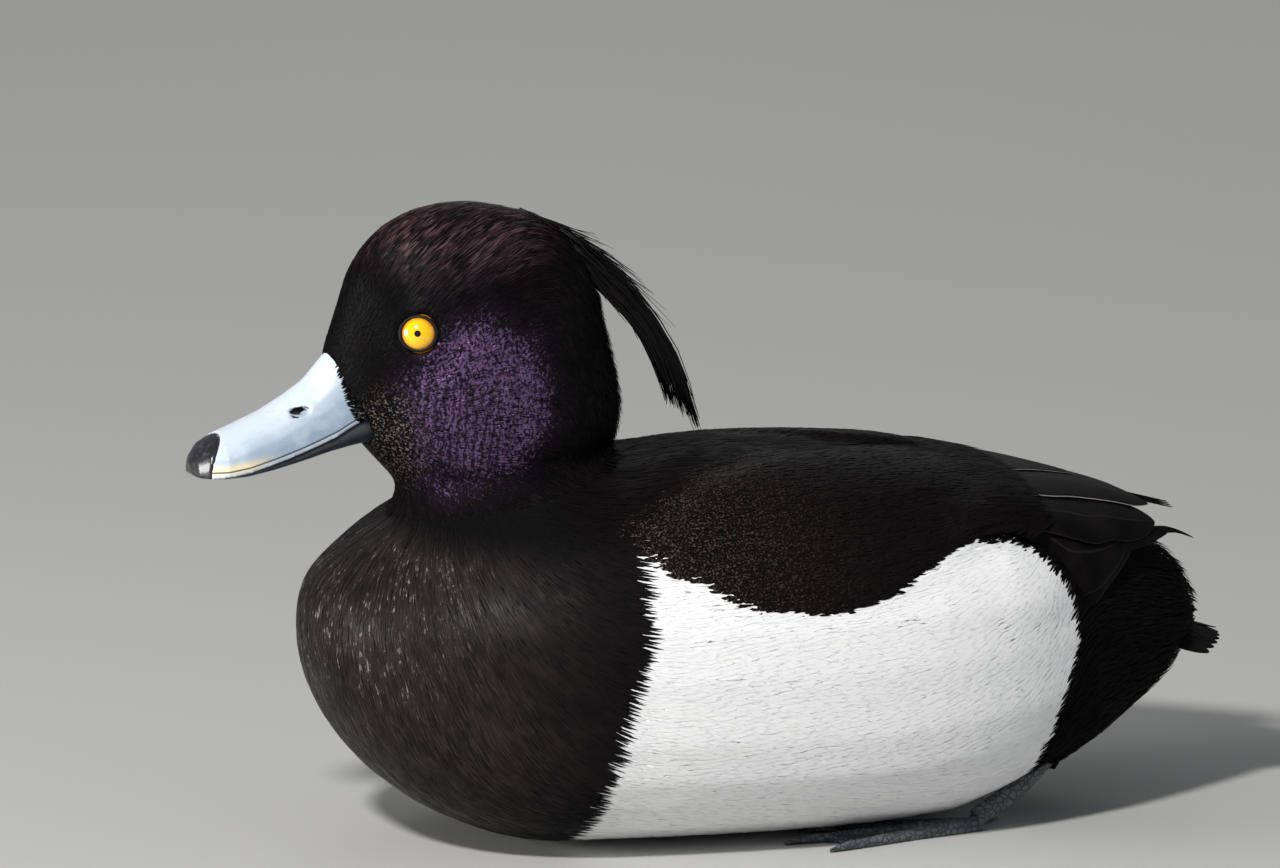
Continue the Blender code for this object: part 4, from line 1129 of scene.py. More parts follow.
class DUCK_OT_head_plumage(bpy.types.Operator):
    """Lay the fine barbs of the head"""

    bl_idname = "duck.head_plumage"
    bl_label = "Head Plumage"

    def execute(self, context):
        plumage = context.scene.duck_plumage
        surface = Surface(bpy.data.objects["skin"])
        middles = surface.middles
        chosen = is_head(middles) & off_bill_and_eyes(middles)
        base = plumage.head_spacing / MM

        def from_face(points):
            return smoothstep(8, 34, np.linalg.norm(points - BILL_ROOT, axis=1))

        form = {
            "spacing": lambda points: base * mix(0.85, 1.05, from_face(points)),
            "length": lambda points: mix(1.5, 2.6, from_face(points))
            + 5.5 * smoothstep(128, 146, points[:, 2]) * smoothstep(-104, -76, points[:, 0])
            + 1.6 * smoothstep(-50, -40, points[:, 0]),
            "lift": lambda points: 6 + 28 * smoothstep(-47, -38, points[:, 0]),
            "width": lambda points: np.full(len(points), 0.4),
            "thickness": 0.07,
            "sway": 0.1,
            "sunk": 0.05,
            "uneven": 0.3,
            "together": 0.45,
            "astray": nowhere,
            "lock": 1.0,
            "gather": lambda points: np.maximum(
                mix(0.12, 0.6, smoothstep(126, 146, points[:, 2])), 0.7 * smoothstep(-50, -42, points[:, 0])
            ),
        }
        material = head_coat_material(plumage)
        egg = ((-72, 0, 116), (38, 24, 38))
        coat("head_plumage", surface, material, "head", chosen, form, plumage.seed, *egg, 4)
        bill = Surface(bpy.data.objects["upper_bill_horn"])
        x, _, z = bill.middles.T
        edge = edge_at(FEATHER_EDGE, z)
        chosen = (x > edge) & (x < edge + 8) & (z > 99)
        face = dict(form, length=lambda points: np.full(len(points), 2.0))
        coat("face_plumage", bill, material, "head", chosen, face, plumage.seed + 40, *egg)
        return {"FINISHED"}


def nowhere(points):
    return np.zeros(len(points), bool)


BODY_FORM = {
    "thickness": 0.1,
    "sunk": 0.04,
    "uneven": 0.4,
    "together": 0.3,
    "astray": over_white,
    "lock": 2.2,
    "gather": 0.3,
}


def body_form(**given):
    """The form of a coat of the body, where some of its measures may change from place to place."""

    def by_place(value):
        return value if callable(value) else lambda points: np.full(len(points), float(value))

    form = {**BODY_FORM, **given}
    for key in ("spacing", "length", "lift", "width", "gather"):
        form[key] = by_place(form[key])
    return form


BODY_EGG = (0, 0, 46), (114, 62, 48)
# Where the coats of the body end: heights and places along the bird.
UNDER_TOP, NECK_FOOT, BREAST_TOP = 3.5, 80, 97
NECK_FRONT, BREAST_REAR, WINGS_FRONT, WINGS_REAR = -60, -28, 51, 90


class DUCK_OT_body_plumage(bpy.types.Operator):
    """Lay the plumage of breast, back, shoulder patches, flanks, belly and stern"""

    bl_idname = "duck.body_plumage"
    bl_label = "Body Plumage"

    def execute(self, context):
        plumage = context.scene.duck_plumage
        surface = Surface(bpy.data.objects["skin"])
        middles = surface.middles
        x, y, z = middles.T
        ahead = middles + lie(middles, surface.face_normals) * TIP_REACH
        white, patch, under = is_white(ahead), is_patch(ahead), z < UNDER_TOP
        dark = ~is_head(middles) & ~white & ~under
        by_neck = (z > NECK_FOOT) & (x > NECK_FRONT)
        fore = dark & ~patch & (x < BREAST_REAR) & (z < BREAST_TOP) & ~by_neck
        patch &= x < WINGS_FRONT
        mantle = dark & ~patch & ~fore & (x < WINGS_FRONT)
        over_flank = (z < edge_at(WHITE_TOP, x) + 3) & (np.abs(y) > 30)
        under_wings = (x < WINGS_REAR) & (z > 62) & ~over_flank
        stern = dark & ~patch & (x >= WINGS_FRONT) & ~under_wings
        base, seed = plumage.body_spacing / MM, plumage.seed

        def lay(name, material, slot, chosen, nth, parts=1, **form):
            form = body_form(**form)
            coat(name, surface, material, slot, chosen, form, seed + nth, *BODY_EGG, parts=parts)

        def inner(points):
            return smoothstep(2, 8, inside_white(points))

        black = breast_coat_material(plumage)
        brown = black_coat_material(plumage, "back_barbs", plumage.brown, 0.2, 0.4, 0.016)
        dull = black_coat_material(plumage, "stern_barbs", plumage.brown, 0.1, 0.5, 0.03)
        pale = white_coat_material(plumage)
        breast = {"spacing": base * 0.75, "length": 6.5, "width": 0.52, "lift": 2.3, "sway": 0.04}
        breast |= {"thickness": 0.05, "lock": 1.6, "gather": 0.08, "uneven": 0.12, "together": 0.4}
        lay("breast_plumage", black, "breast", fore, 1, parts=2, **breast)
        back = {"spacing": base, "length": 8, "width": 0.9, "lift": 3.2, "sway": 0.06}
        back |= {"thickness": 0.06, "gather": 0.2, "uneven": 0.2}
        lay("back_plumage", brown, "back", mantle, 2, **back)
        grains = {"spacing": base * 0.85, "length": 3.6, "width": 0.85, "lift": 6, "sway": 0.12}
        grains |= {"thickness": 0.06, "lock": 1.2, "gather": 0.15, "uneven": 0.25}
        flank = {
            "spacing": lambda points: base * mix(0.85, 1.2, inner(points)),
            "length": lambda points: mix(6.0, 7.5, inner(points)),
            "width": lambda points: mix(0.7, 1.3, inner(points)),
        }
        flank |= {"lift": 1.5, "sway": 0.03, "thickness": 0.02, "lock": 2.6, "gather": 0.0, "uneven": 0.1}
        for side, word in ((LEFT, "left"), (RIGHT, "right")):
            half = y * side > 0
            material = patch_coat_material(plumage)
            lay(f"patch_plumage_{word}", material, "wing", patch & half, 3 + side, **grains)
            chosen = white & half & ~under
            lay(f"flank_plumage_{word}", pale, "torso", chosen, 6 + side, astray=past_white, **flank)
        rear = {
            "spacing": base * 1.12,
            "length": lambda points: mix(5, 8, smoothstep(80, 105, points[:, 0])),
            "width": 0.7,
            "lift": lambda points: mix(8, 26, smoothstep(88, 108, points[:, 0])),
            "sway": 0.12,
        }
        lay("stern_plumage", dull, "rump", stern, 9, **rear)
        sparse = {"spacing": 2.4, "length": 8, "width": 2.4, "lift": 5, "sway": 0.1}
        lay("belly_plumage", pale, "torso", under & white, 10, **sparse)
        lay("keel_plumage", black, "breast", under & ~white, 11, **sparse)
        return {"FINISHED"}


# Feathers with a vane

def roof_surface(x, around):
    """A point of the wings' roof on the right side. around runs from its ridge (0) to its edge (1)."""
    _, ridge, side, edge = along(ROOF, place_of(ROOF, x))
    if around > 1:
        return Vector((x, side, edge - ROOF_HANG * (around - 1)))
    sine, cosine = math.sin(around * math.pi / 2), math.cos(around * math.pi / 2)
    out = math.copysign(abs(sine) ** ROOF_ROUNDNESS, sine)
    return Vector((x, side * out, edge + (ridge - edge) * max(cosine, 0.0) ** ROOF_ROUNDNESS))


def roof_out(x, around):
    """The way out of the roof, on the right side."""
    lengthwise = roof_surface(x + 1, around) - roof_surface(x - 1, around)
    sideways = roof_surface(x, around + 0.03) - roof_surface(x, around - 0.03)
    return lengthwise.cross(sideways).normalized()


def outline_width(share, tip):
    """A feather's share of its half width. It ends round over the last part, tip, of its length."""
    if share > 1 - tip:
        return math.sqrt(max(0.0, 1 - ((share - 1 + tip) / tip) ** 2)) * 0.97 + 0.03
    return 1.0


VANE_ROWS, VANE_COLUMNS = 26, 9
VANE_HALF_THICKNESS, SHAFT_HEIGHT, SHAFT_SHARE = 0.12, 0.08, 0.06


def closed_sheet(tops, bottoms, uv, columns):
    """The points, faces and map of a thin sheet with an upper and a lower grid of points."""
    size, rows = len(tops), len(tops) // columns
    faces = []
    for i in range(rows - 1):
        for j in range(columns - 1):
            a = i * columns + j
            b, c, d = a + 1, a + columns + 1, a + columns
            faces += [(a, b, c, d), (size + d, size + c, size + b, size + a)]
    rim = list(range(columns)) + [(i + 1) * columns - 1 for i in range(1, rows)]
    rim += [(rows - 1) * columns + j for j in range(columns - 2, -1, -1)]
    rim += [i * columns for i in range(rows - 2, 0, -1)]
    faces += [(b, a, size + a, size + b) for a, b in zip(rim, rim[1:] + rim[:1])]
    return np.array([list(p) for p in tops + bottoms]), np.array(faces), np.array(uv + uv)


def shaft_crown(u, share):
    return SHAFT_HEIGHT * math.exp(-((u / SHAFT_SHARE) ** 2)) * (1 - 0.8 * share)


def vane_mesh(stations):
    """One flat feather over stations of point, half width, across, out and tilt."""
    tops, bottoms, uv, reach = [], [], [], 0.0
    for i, (point, half, across, out, tilt) in enumerate(stations):
        if i:
            reach += (point - stations[i - 1][0]).length
        for j in range(VANE_COLUMNS):
            u = 2 * j / (VANE_COLUMNS - 1) - 1
            middle = point + across * (half * u) + out * (half * (tilt * u - 0.05 * u * u))
            thin = VANE_HALF_THICKNESS * (1 - 0.55 * i / len(stations)) * (1 - 0.4 * abs(u))
            tops.append(middle + out * (thin + shaft_crown(u, i / len(stations))))
            bottoms.append(middle - out * thin)
            uv.append((u, reach / 10))
    return closed_sheet(tops, bottoms, uv, VANE_COLUMNS)


LEAF_ROWS, LEAF_COLUMNS, LEAF_HALF_THICKNESS = 34, 17, 0.12


def leaf(side, rows, tip, extra_depth=0.0, shift=0.0, turn=0.0, longer=0.0, rise=0.0):
    """One feather of a closed wing, laid on the roof between its edges, as rows say. rise lifts its end."""
    tops, bottoms, uv = [], [], []
    rows = [row if len(row) == 5 else (*row, row[3]) for row in rows]
    over = LEFT_OVER_RIGHT if side == LEFT else 0
    for i in range(LEAF_ROWS):
        share = 1 - (1 - i / (LEAF_ROWS - 1)) ** 1.6
        x, upper, lower, upper_depth, lower_depth = along(rows, share * (len(rows) - 1))
        x += shift + longer * share
        middle, half = (upper + lower) / 2 + turn, (lower - upper) / 2 * outline_width(share, tip)
        for j in range(LEAF_COLUMNS):
            u = 2 * j / (LEAF_COLUMNS - 1) - 1
            around = middle + half * u
            depth = mix(upper_depth, lower_depth, (u + 1) / 2) + extra_depth - over
            out = roof_out(x, around)
            place = roof_surface(x, around) - out * depth
            thin = LEAF_HALF_THICKNESS * (1 - 0.6 * abs(u) ** 3)
            for grid, height in ((tops, thin + shaft_crown(u, share)), (bottoms, -thin)):
                point = place + out * height + Vector((0, 0, rise * share**3))
                grid.append(Vector((point.x, point.y * side, point.z)))
            uv.append((u, (x - rows[0][0]) / 10))
    return closed_sheet(tops, bottoms, uv, LEAF_COLUMNS)


def joined_vanes(name, vanes):
    """Feathers as one object, each closed on its own and turned so that its faces point out."""
    points, faces, uvs, start = [], [], [], 0
    for vane_points, vane_faces, vane_uv in vanes:
        points.append(vane_points)
        faces.append(vane_faces + start)
        uvs.append(vane_uv)
        start += len(vane_points)
    uv = np.concatenate(uvs)
    obj = mesh_of(name, np.concatenate(points), np.concatenate(faces), {"Vane": uv})
    turn_faces_out(obj.data)
    return obj


# The long feathers of each closed wing: how much longer they are, how much nearer to the ridge, how far
# their ends rise, and how far they spread.
WING_TIPS = ((LEFT, "left", 2.2, 0, 0, 1.0), (RIGHT, "right", 3.0, -0.4, 2.6, 0.15))


class DUCK_OT_wing_feathers(bpy.types.Operator):
    """Lay the flight feathers of both closed wings"""

    bl_idname = "duck.wing_feathers"
    bl_label = "Wing Feathers"

    def execute(self, context):
        plumage = context.scene.duck_plumage
        dark = vane_material(plumage, "wing_vanes", plumage.brown, 0.5, 0.04)
        # The tertials carry a strong painted highlight along their edges.
        rim_highlit = vane_material(plumage, "tertial_vanes", plumage.brown, 0.5, 0.8)
        for side, word, longer, nearer, rise, spread in WING_TIPS:
            vanes = []
            for i in range(PRIMARIES):
                above = (PRIMARIES - 1 - i) * spread
                shift, turn = -PRIMARY_STEP * above, PRIMARY_TURN * above + nearer
                vanes.append(leaf(side, PRIMARY, 0.3, 0.25 * i, shift, turn, longer, rise))
            vanes += [leaf(side, PANEL, 0.1, 0.5), leaf(side, PANEL, 0.1, 0.15, -3.0, -0.03)]
            vanes.append(leaf(side, OUTER_TERTIAL, 0.13))
            obj = joined_vanes(f"wing_feathers_{word}", vanes)
            finished(obj, obj.name, dark, "wing", f"wing_{word}")
            vanes = [leaf(side, MIDDLE_TERTIAL, 0.15), leaf(side, INNER_TERTIAL, 0.2)]
            obj = joined_vanes(f"tertials_{word}", vanes)
            finished(obj, obj.name, rim_highlit, "wing")
        return {"FINISHED"}


def cover_surface():
    """The front of the roof, where the fine feathers of the shoulders run out over the flight feathers."""
    xs, turns = np.arange(38, 70, 1.0), np.linspace(-1.02, 1.02, 61)
    points = []
    for x in xs:
        depth = mix(2.2, -0.3, float(smoothstep(40, 53, x)))
        for turn in turns:
            side = LEFT if turn < 0 else RIGHT
            place = roof_surface(x, abs(turn)) - roof_out(x, abs(turn)) * depth
            points.append((place.x, place.y * side, place.z))
    a = (np.arange(len(xs) - 1)[:, None] * len(turns) + np.arange(len(turns) - 1)).reshape(-1)
    faces = np.stack([a, a + len(turns), a + len(turns) + 1, a + 1], 1)
    obj = mesh_of("cover", np.array(points), faces, {})
    surface = Surface(obj)
    bpy.data.objects.remove(obj)
    return surface


class DUCK_OT_cover_plumage(bpy.types.Operator):
    """Lay the fine feathers that run from the shoulders over the roots of the flight feathers"""

    bl_idname = "duck.cover_plumage"
    bl_label = "Cover Plumage"

    def execute(self, context):
        plumage = context.scene.duck_plumage
        surface = cover_surface()
        x, _, z = surface.middles.T
        chosen = (x > 43) & (x < 57) & (z > edge_at(WHITE_TOP, x) + 1.5)
        base = plumage.body_spacing / MM
        form = {"spacing": base * 0.95, "length": 7.5, "width": 0.95, "lift": 3, "sway": 0.06}
        form |= {"thickness": 0.06, "gather": 0.2, "uneven": 0.2}
        material = black_coat_material(plumage, "cover_barbs", plumage.brown, 0.2, 0.4, 0.016)
        egg = (20, 0, 40), (60, 60, 48)
        coat("cover_plumage", surface, material, "wing", chosen, body_form(**form), plumage.seed + 12, *egg)
        return {"FINISHED"}


# How far one middle feather of the tail lies over the other, and the share of a feather's round end.
MIDDLE_STEP, RECTRIX_TIP = 0.5, 0.42


def tail_point(reach, across):
    """A point of the tail fan: reach runs from root to tip, across from -1 (left) to 1."""
    length = TAIL_LENGTH * mix(1, TAIL_OUTER_SHARE, across**2)
    half_width = mix(TAIL_ROOT_HALF_WIDTH, TAIL_TIP_HALF_WIDTH, reach)
    z = TAIL_ROOT_Z - TAIL_DROP * reach - TAIL_ARCH * across**2
    return Vector((TAIL_ROOT_X + length * reach, half_width * across, z))


class DUCK_OT_tail_feathers(bpy.types.Operator):
    """Lay the fan of tail feathers"""

    bl_idname = "duck.tail_feathers"
    bl_label = "Tail Feathers"

    def execute(self, context):
        plumage = context.scene.duck_plumage
        vanes = []
        for i in range(RECTRICES):
            across = (2 * i + 1) / RECTRICES - 1
            side = LEFT if across < 0 else RIGHT
            middle = i in (RECTRICES // 2 - 1, RECTRICES // 2)
            tilt = 0 if middle else RECTRIX_TILT * side
            stations = []
            for k in range(VANE_ROWS):
                share = 1 - (1 - k / (VANE_ROWS - 1)) ** 1.5
                point = tail_point(mix(0.02, 1, share), across)
                sideways = tail_point(share, across + 0.05) - tail_point(share, across - 0.05)
                raised = MIDDLE_STEP * side if middle else 0
                half = RECTRIX_HALF_WIDTH * outline_width(share, RECTRIX_TIP) ** 1.3 * mix(0.5, 1, share)
                out = Vector((0, 0, 1))
                stations.append((point - Vector((0, 0, raised)), half, sideways.normalized(), out, -tilt))
            vanes.append(vane_mesh(stations))
        material = vane_material(plumage, "tail_vanes", plumage.brown, 0.55, 0.1)
        finished(joined_vanes("tail_feathers", vanes), "tail_feathers", material, "tail", "tail")
        return {"FINISHED"}


# Crest

CREST_STRANDS, STRAND_STEPS, STRAND_RADIUS, CREST_MARGIN = 420, 9, 0.3, 0.05
# One strand in so many stands off, and one in so many is short.
STRAY_EACH, SHORT_EACH = 12, 4
# The pointed locks that the crest ends in, as the place across it and the share of its length.
CREST_TIPS = ((0.1, 0.95), (0.9, 1.04), (0.85, 0.98), (0.5, 0.99), (0.05, 0.86))


def crest_path(share, across):
    """A point of the crest: share from crown (0) to tip (1), across from lower (0) to upper edge (1)."""
    place = share * (len(CREST_UPPER) - 1)
    low, high = along(CREST_LOWER, place), along(CREST_UPPER, place)
    return Vector((mix(low[0], high[0], across), 0, mix(low[1], high[1], across)))


def strand_mesh(centres, radii):
    """The points and faces of a closed, tapered three-sided strand."""
    points = []
    for i, (centre, radius) in enumerate(zip(centres, radii)):
        ahead = (centres[min(i + 1, len(centres) - 1)] - centres[max(i - 1, 0)]).normalized()
        side = Vector((0, 1, 0))
        up = ahead.cross(side).normalized()
        for j in range(3):
            turn = math.tau * j / 3
            points.append(centre + side * (radius * math.cos(turn)) + up * (radius * math.sin(turn)))
    last = len(centres) - 1
    threes = [(0, 1, 2), (last * 3, last * 3 + 2, last * 3 + 1)]
    quads = []
    for i in range(last):
        for j in range(3):
            k = (j + 1) % 3
            quads.append((i * 3 + j, i * 3 + 3 + j, i * 3 + 3 + k, i * 3 + k))
    return points, quads, threes


class DUCK_OT_crest(bpy.types.Operator):
    """Grow the drooping crest, strand by strand"""

    bl_idname = "duck.crest"
    bl_label = "Crest"

    def execute(self, context):
        plumage = context.scene.duck_plumage
        draw = np.random.default_rng(plumage.seed + 30)
        points, quads, threes, barb, bake = [], [], [], [], []
        for n in range(CREST_STRANDS):
            stray = n % STRAY_EACH == 0
            tip_across, tip_end = CREST_TIPS[n % len(CREST_TIPS)]
            start, end = draw.uniform(-0.02, 0.22), tip_end + draw.normal(0, 0.025)
            if n % SHORT_EACH == 0:
                end = draw.uniform(0.4, 0.85)
            across_root, across_tip = draw.uniform(0.1, 0.95), tip_across + draw.normal(0, 0.1)
            if stray:
                start, across_root, across_tip = draw.uniform(0, 0.4), 0.95, 1.0
                end = start + draw.uniform(0.22, 0.4)
            aside_root, aside_tip = draw.uniform(-1, 1), draw.normal(0, 0.45)
            bow, draw_lift = draw.normal(0, 0.5), draw.uniform(1.0, 3.2)
            chance, u = draw.random(), CREST_MARGIN + 0.9 * n / CREST_STRANDS
            centres, radii = [], []
            for i in range(STRAND_STEPS):
                along_share = i / (STRAND_STEPS - 1)
                share = mix(start, end, along_share)
                across = mix(across_root, across_tip, along_share)
                centre = crest_path(max(share, 0), across)
                width = along(CREST_HALF_WIDTHS, max(share, 0) * (len(CREST_HALF_WIDTHS) - 1))[0]
                centre.y = width * mix(aside_root, aside_tip, along_share**0.7)
                centre += Vector((0.35, 0, 0.5)) * (bow * math.sin(math.pi * along_share))
                if stray:
                    centre += Vector((0.6, 0, 0.8)) * (draw_lift * along_share**2)
                centres.append(centre)
                full = 0.55 if stray else 1
                taper = (0.75 + 0.4 * math.sin(math.pi * along_share)) * (1 - 0.72 * along_share)
                radii.append(STRAND_RADIUS * full * taper)
                barb += [(chance, along_share)] * 3
                bake += [(u + 0.001 * j, CREST_MARGIN + 0.85 * share) for j in range(3)]
            base = len(points)
            strand, four, three = strand_mesh(centres, radii)
            points += [list(p) for p in strand]
            quads += [[base + v for v in face] for face in four]
            threes += [[base + v for v in face] for face in three]
        uvs = {"OFBake": np.array(bake), "Barb": np.array(barb)}
        obj = mesh_of("crest_strands", np.array(points), [np.array(quads), np.array(threes)], uvs)
        turn_faces_out(obj.data)
        material = black_coat_material(plumage, "crest_barbs", plumage.head_light, 0.1, 0.4, 0.2)
        finished(obj, "crest_strands", material, "crest", "crest")
        return {"FINISHED"}


# Eyes, bill and feet

PUPIL_BLACK, LID_BLACK, PUPIL_SOFTNESS = (0.002, 0.002, 0.002), (0.006, 0.005, 0.005), 0.06
# From where to where the iris turns to its rim, as millimetres round the ball.
IRIS_RIM = 3.2, 4.5
# The lids: how far their rim runs outside the opening, half its thickness, its ripples and its flatness.
LID_OUTSIDE, LID_HALF_THICKNESS, LID_RIPPLE, LID_RIPPLES, LID_FLATNESS = 0.28, 0.5, 0.012, 17, 0.93


def eye_material(settings, side):
    middle, outward = eye_middle(side), eye_outward(side)[1]
    name = "eye_left" if side == LEFT else "eye_right"
    material, shader = new_material(name, settings.iris, 0.12, Coat_Weight=1.0, Coat_Roughness=0.02)
    shift = shader.node("ShaderNodeVectorMath", shader.places(), tuple(middle * MM), operation="SUBTRACT")
    ahead = shader.node("ShaderNodeVectorMath", shift, tuple(outward), out=1, operation="DOT_PRODUCT")
    long = shader.node("ShaderNodeVectorMath", shift, out=1, operation="LENGTH")
    angle = shader.math("ARCCOSINE", shader.math("DIVIDE", ahead, long))
    reach = shader.times(angle, EYE_RADIUS)
    fibres = shader.noise(shader.node("ShaderNodeVectorMath", shift, operation="NORMALIZE"), 26.0, 4.0)
    rim = shader.ramp(shader.math("ADD", reach, shader.times(fibres, 0.5)), *IRIS_RIM)
    yellow = shader.blend(rim, settings.iris, settings.iris_rim)
    fine = shader.times(shader.ramp(fibres, 0.42, 0.66), 0.35)
    yellow = shader.blend(fine, yellow, settings.iris_rim)
    radius = settings.pupil / MM
    pupil = shader.ramp(reach, radius + PUPIL_SOFTNESS, radius - PUPIL_SOFTNESS)
    feed(material, shader.blend(pupil, yellow, PUPIL_BLACK), "Base Color")
    return material


class DUCK_OT_eyes(bpy.types.Operator):
    """Set the eyeballs and their lids"""

    bl_idname = "duck.eyes"
    bl_label = "Eyes"

    def execute(self, context):
        settings = context.scene.duck_eye
        lid_material, _ = new_material("lids", LID_BLACK, 0.5, Specular_IOR_Level=0.2)
        for side, word in ((LEFT, "left"), (RIGHT, "right")):
            middle, outward = eye_outward(side)
            turn = outward.to_track_quat("Z", "Y").to_matrix().to_4x4()
            bpy.ops.object.select_all(action="DESELECT")
            bpy.ops.mesh.primitive_uv_sphere_add(segments=64, ring_count=40, radius=EYE_RADIUS * MM)
            ball = context.active_object
            ball.data.transform(Matrix.Translation(middle * MM) @ turn)
            ball.data.shade_smooth()
            finished(ball, f"eyeball_{word}", eye_material(settings, side), "eye", f"eye_{word}")
            bpy.ops.object.select_all(action="DESELECT")
            bpy.ops.mesh.primitive_torus_add(
                major_segments=56,
                minor_segments=14,
                major_radius=(EYE_OPENING + LID_OUTSIDE) * MM,
                minor_radius=LID_HALF_THICKNESS * MM,
            )
            lid = context.active_object
            for vert in lid.data.vertices:
                vert.co.z += (EYE_RADIUS**2 - EYE_OPENING**2) ** 0.5 * MM
                ripple = 1 + LID_RIPPLE * math.sin(math.atan2(vert.co.y, vert.co.x) * LID_RIPPLES)
                vert.co.x *= ripple
                vert.co.y *= ripple * LID_FLATNESS
            lid.data.transform(Matrix.Translation(middle * MM) @ turn)
            lid.data.shade_smooth()
            finished(lid, f"eyelids_{word}", lid_material, "head")
        return {"FINISHED"}


# The lighter grey of the nail is a painted sheen.
BILL_STREAK, NAIL_SHEEN = (0.12, 0.16, 0.22), (0.05, 0.05, 0.06)
LOWER_BILL, LOWER_BILL_LIGHT = (0.03, 0.035, 0.045), (0.08, 0.1, 0.13)
# The raised brim round a nostril: how far out it lies, its width, and its height.
BRIM_REACH, BRIM_WIDTH, BRIM_HEIGHT = 1.6, 0.4, 0.06


def bill_material(settings):
    """Blue-grey horn, with a painted highlight towards the ridge, a paler rim, a dark line over the rim and
    dark nostrils.
    """
    material, shader = new_material("bill_horn", settings.blue, 0.5, Coat_Weight=0.12, Coat_Roughness=0.28)
    above, ridge = shader.attribute("above_edge"), shader.attribute("up_share")
    streaks = shader.noise(shader.stretched((0.25, 1, 1)), 900.0, 4.0, 0.6)
    clouds = shader.noise(shader.places(), 160.0)
    # Painted highlight: the horn pales towards the top of the ridge.
    base = shader.blend(shader.ramp(ridge, 0.25, 1.0), settings.blue, settings.pale)
    base = shader.blend(shader.times(shader.ramp(clouds, 0.45, 0.7), 0.5), base, settings.pale)
    base = shader.blend(shader.times(shader.ramp(streaks, 0.55, 0.75), 0.18), base, BILL_STREAK)
    by_tip = shader.times(shader.ramp(shader.lengthwise(), -0.122, -0.132), shader.ramp(above, 4.0, 1.4))
    base = shader.blend(by_tip, base, settings.cream)
    base = shader.blend(shader.times(shader.ramp(above, 1.15, 0.75), 0.75), base, settings.pale)
    line = shader.times(shader.ramp(above, 1.0, 1.2), shader.ramp(above, 1.65, 1.4), 0.85)
    base = shader.blend(line, base, settings.dark)
    hollow = shader.ramp(shader.attribute("slot"), 0.2, 0.6)
    feed(material, shader.blend(hollow, base, settings.dark), "Base Color")
    feed(material, shader.span(hollow, 0.0, 1.0, 0.5, 0.9), "Roughness")
    feed(material, shader.span(hollow, 0.0, 1.0, 0.12, 0.0), "Coat Weight")
    feed(material, shader.bump(streaks, 0.15, 0.0002), "Normal")
    return material


class DUCK_OT_bill(bpy.types.Operator):
    """Refine the bill and its nail"""

    bl_idname = "duck.bill"
    bl_label = "Bill"

    def execute(self, context):
        settings = context.scene.duck_bill
        upper = fused("upper_bill_horn", [node_copy("upper_bill")], swell=0.1, voxel=0.42, smoothing=5)
        places = vertex_places(upper.data)
        x, _, z = places.T
        profile = np.array(BILL_PROFILE[::-1]).T
        ridge, edge = np.interp(x, profile[0], profile[1]), np.interp(x, profile[0], profile[2])
        up_share = (z - edge) / (ridge - edge)
        rise = BILL_ROOT_RISE * smoothstep(-114, -106.5, x) * smoothstep(0.4, 1, up_share)
        set_places(upper.data, places + rise[:, None] * (0, 0, 1))
        set_values(upper.data, "above_edge", z - edge)
        set_values(upper.data, "up_share", up_share)
        self.open_nostrils(upper)
        finished(upper, "upper_bill_horn", bill_material(settings), "upper_bill", "upper_bill")
        coating = {"Coat_Weight": 0.4, "Coat_Roughness": 0.15}
        material, shader = new_material("nail_horn", settings.dark, 0.3, **coating)
        # Painted sheen: lighter blue-grey streaks on the black nail.
        streaks = shader.ramp(shader.noise(shader.places(), 700.0), 0.5, 0.8)
        feed(material, shader.blend(streaks, settings.dark, NAIL_SHEEN), "Base Color")
        nail = fused("bill_nail_horn", [node_copy("bill_nail")], swell=0.12, voxel=0.34, smoothing=5)
        finished(nail, "bill_nail_horn", material, "bill_nail", "bill_nail")
        material, shader = new_material("lower_bill_horn", LOWER_BILL, 0.4)
        clouds = shader.noise(shader.places(), 300.0)
        feed(material, shader.blend(clouds, settings.dark, LOWER_BILL_LIGHT), "Base Color")
        lower = fused("lower_bill_horn", [node_copy("lower_bill")], swell=0.08, voxel=0.5, smoothing=4)
        finished(lower, "lower_bill_horn", material, "lower_bill", "lower_bill")
        return {"FINISHED"}

    def open_nostrils(self, upper):
        """Presses both nostrils into the horn and marks them in its slot attribute."""
        places, normals = vertex_places(upper.data), vertex_normals(upper.data)
        x, z = places[:, 0] - NOSTRIL[0], places[:, 2] - NOSTRIL[1]
        cosine, sine = math.cos(NOSTRIL_TURN), math.sin(NOSTRIL_TURN)
        along_slot, over_slot = x * cosine + z * sine, z * cosine - x * sine
        reach = np.hypot(along_slot / NOSTRIL_HALF_LENGTH, over_slot / NOSTRIL_HALF_HEIGHT)
        inside = smoothstep(1.3, 0.55, reach) * (np.abs(places[:, 1]) > 2) * (np.abs(normals[:, 1]) > 0.2)
        brim = np.exp(-(((reach - BRIM_REACH) / BRIM_WIDTH) ** 2)) * BRIM_HEIGHT
        moved = places + normals * (brim - NOSTRIL_DEPTH * inside)[:, None]
        set_places(upper.data, moved)
        set_values(upper.data, "slot", inside)


def foot_material(settings):
    material, shader = new_material("foot_skin", settings.grey, 0.5, Coat_Weight=0.1)
    cells = {"values": {"Scale": 650.0}, "feature": "DISTANCE_TO_EDGE"}
    raised = shader.ramp(shader.node("ShaderNodeTexVoronoi", shader.places(), **cells), 0.02, 0.2)
    clouds = shader.noise(shader.places(), 250.0)
    base = shader.blend(clouds, settings.web, settings.grey)
    feed(material, shader.blend(raised, settings.web, base), "Base Color")
    feed(material, shader.bump(raised, 0.5, 0.0003), "Normal")
    return material


class DUCK_OT_feet(bpy.types.Operator):
    """Refine the tucked feet"""

    bl_idname = "duck.feet"
    bl_label = "Feet"

    def execute(self, context):
        material = foot_material(context.scene.duck_foot)
        for word in ("left", "right"):
            foot = fused(f"foot_{word}", [node_copy(f"leg_{word}")], swell=0.05, voxel=0.5, smoothing=3)
            finished(foot, f"foot_{word}", material, "leg", f"leg_{word}")
        return {"FINISHED"}


# Stage

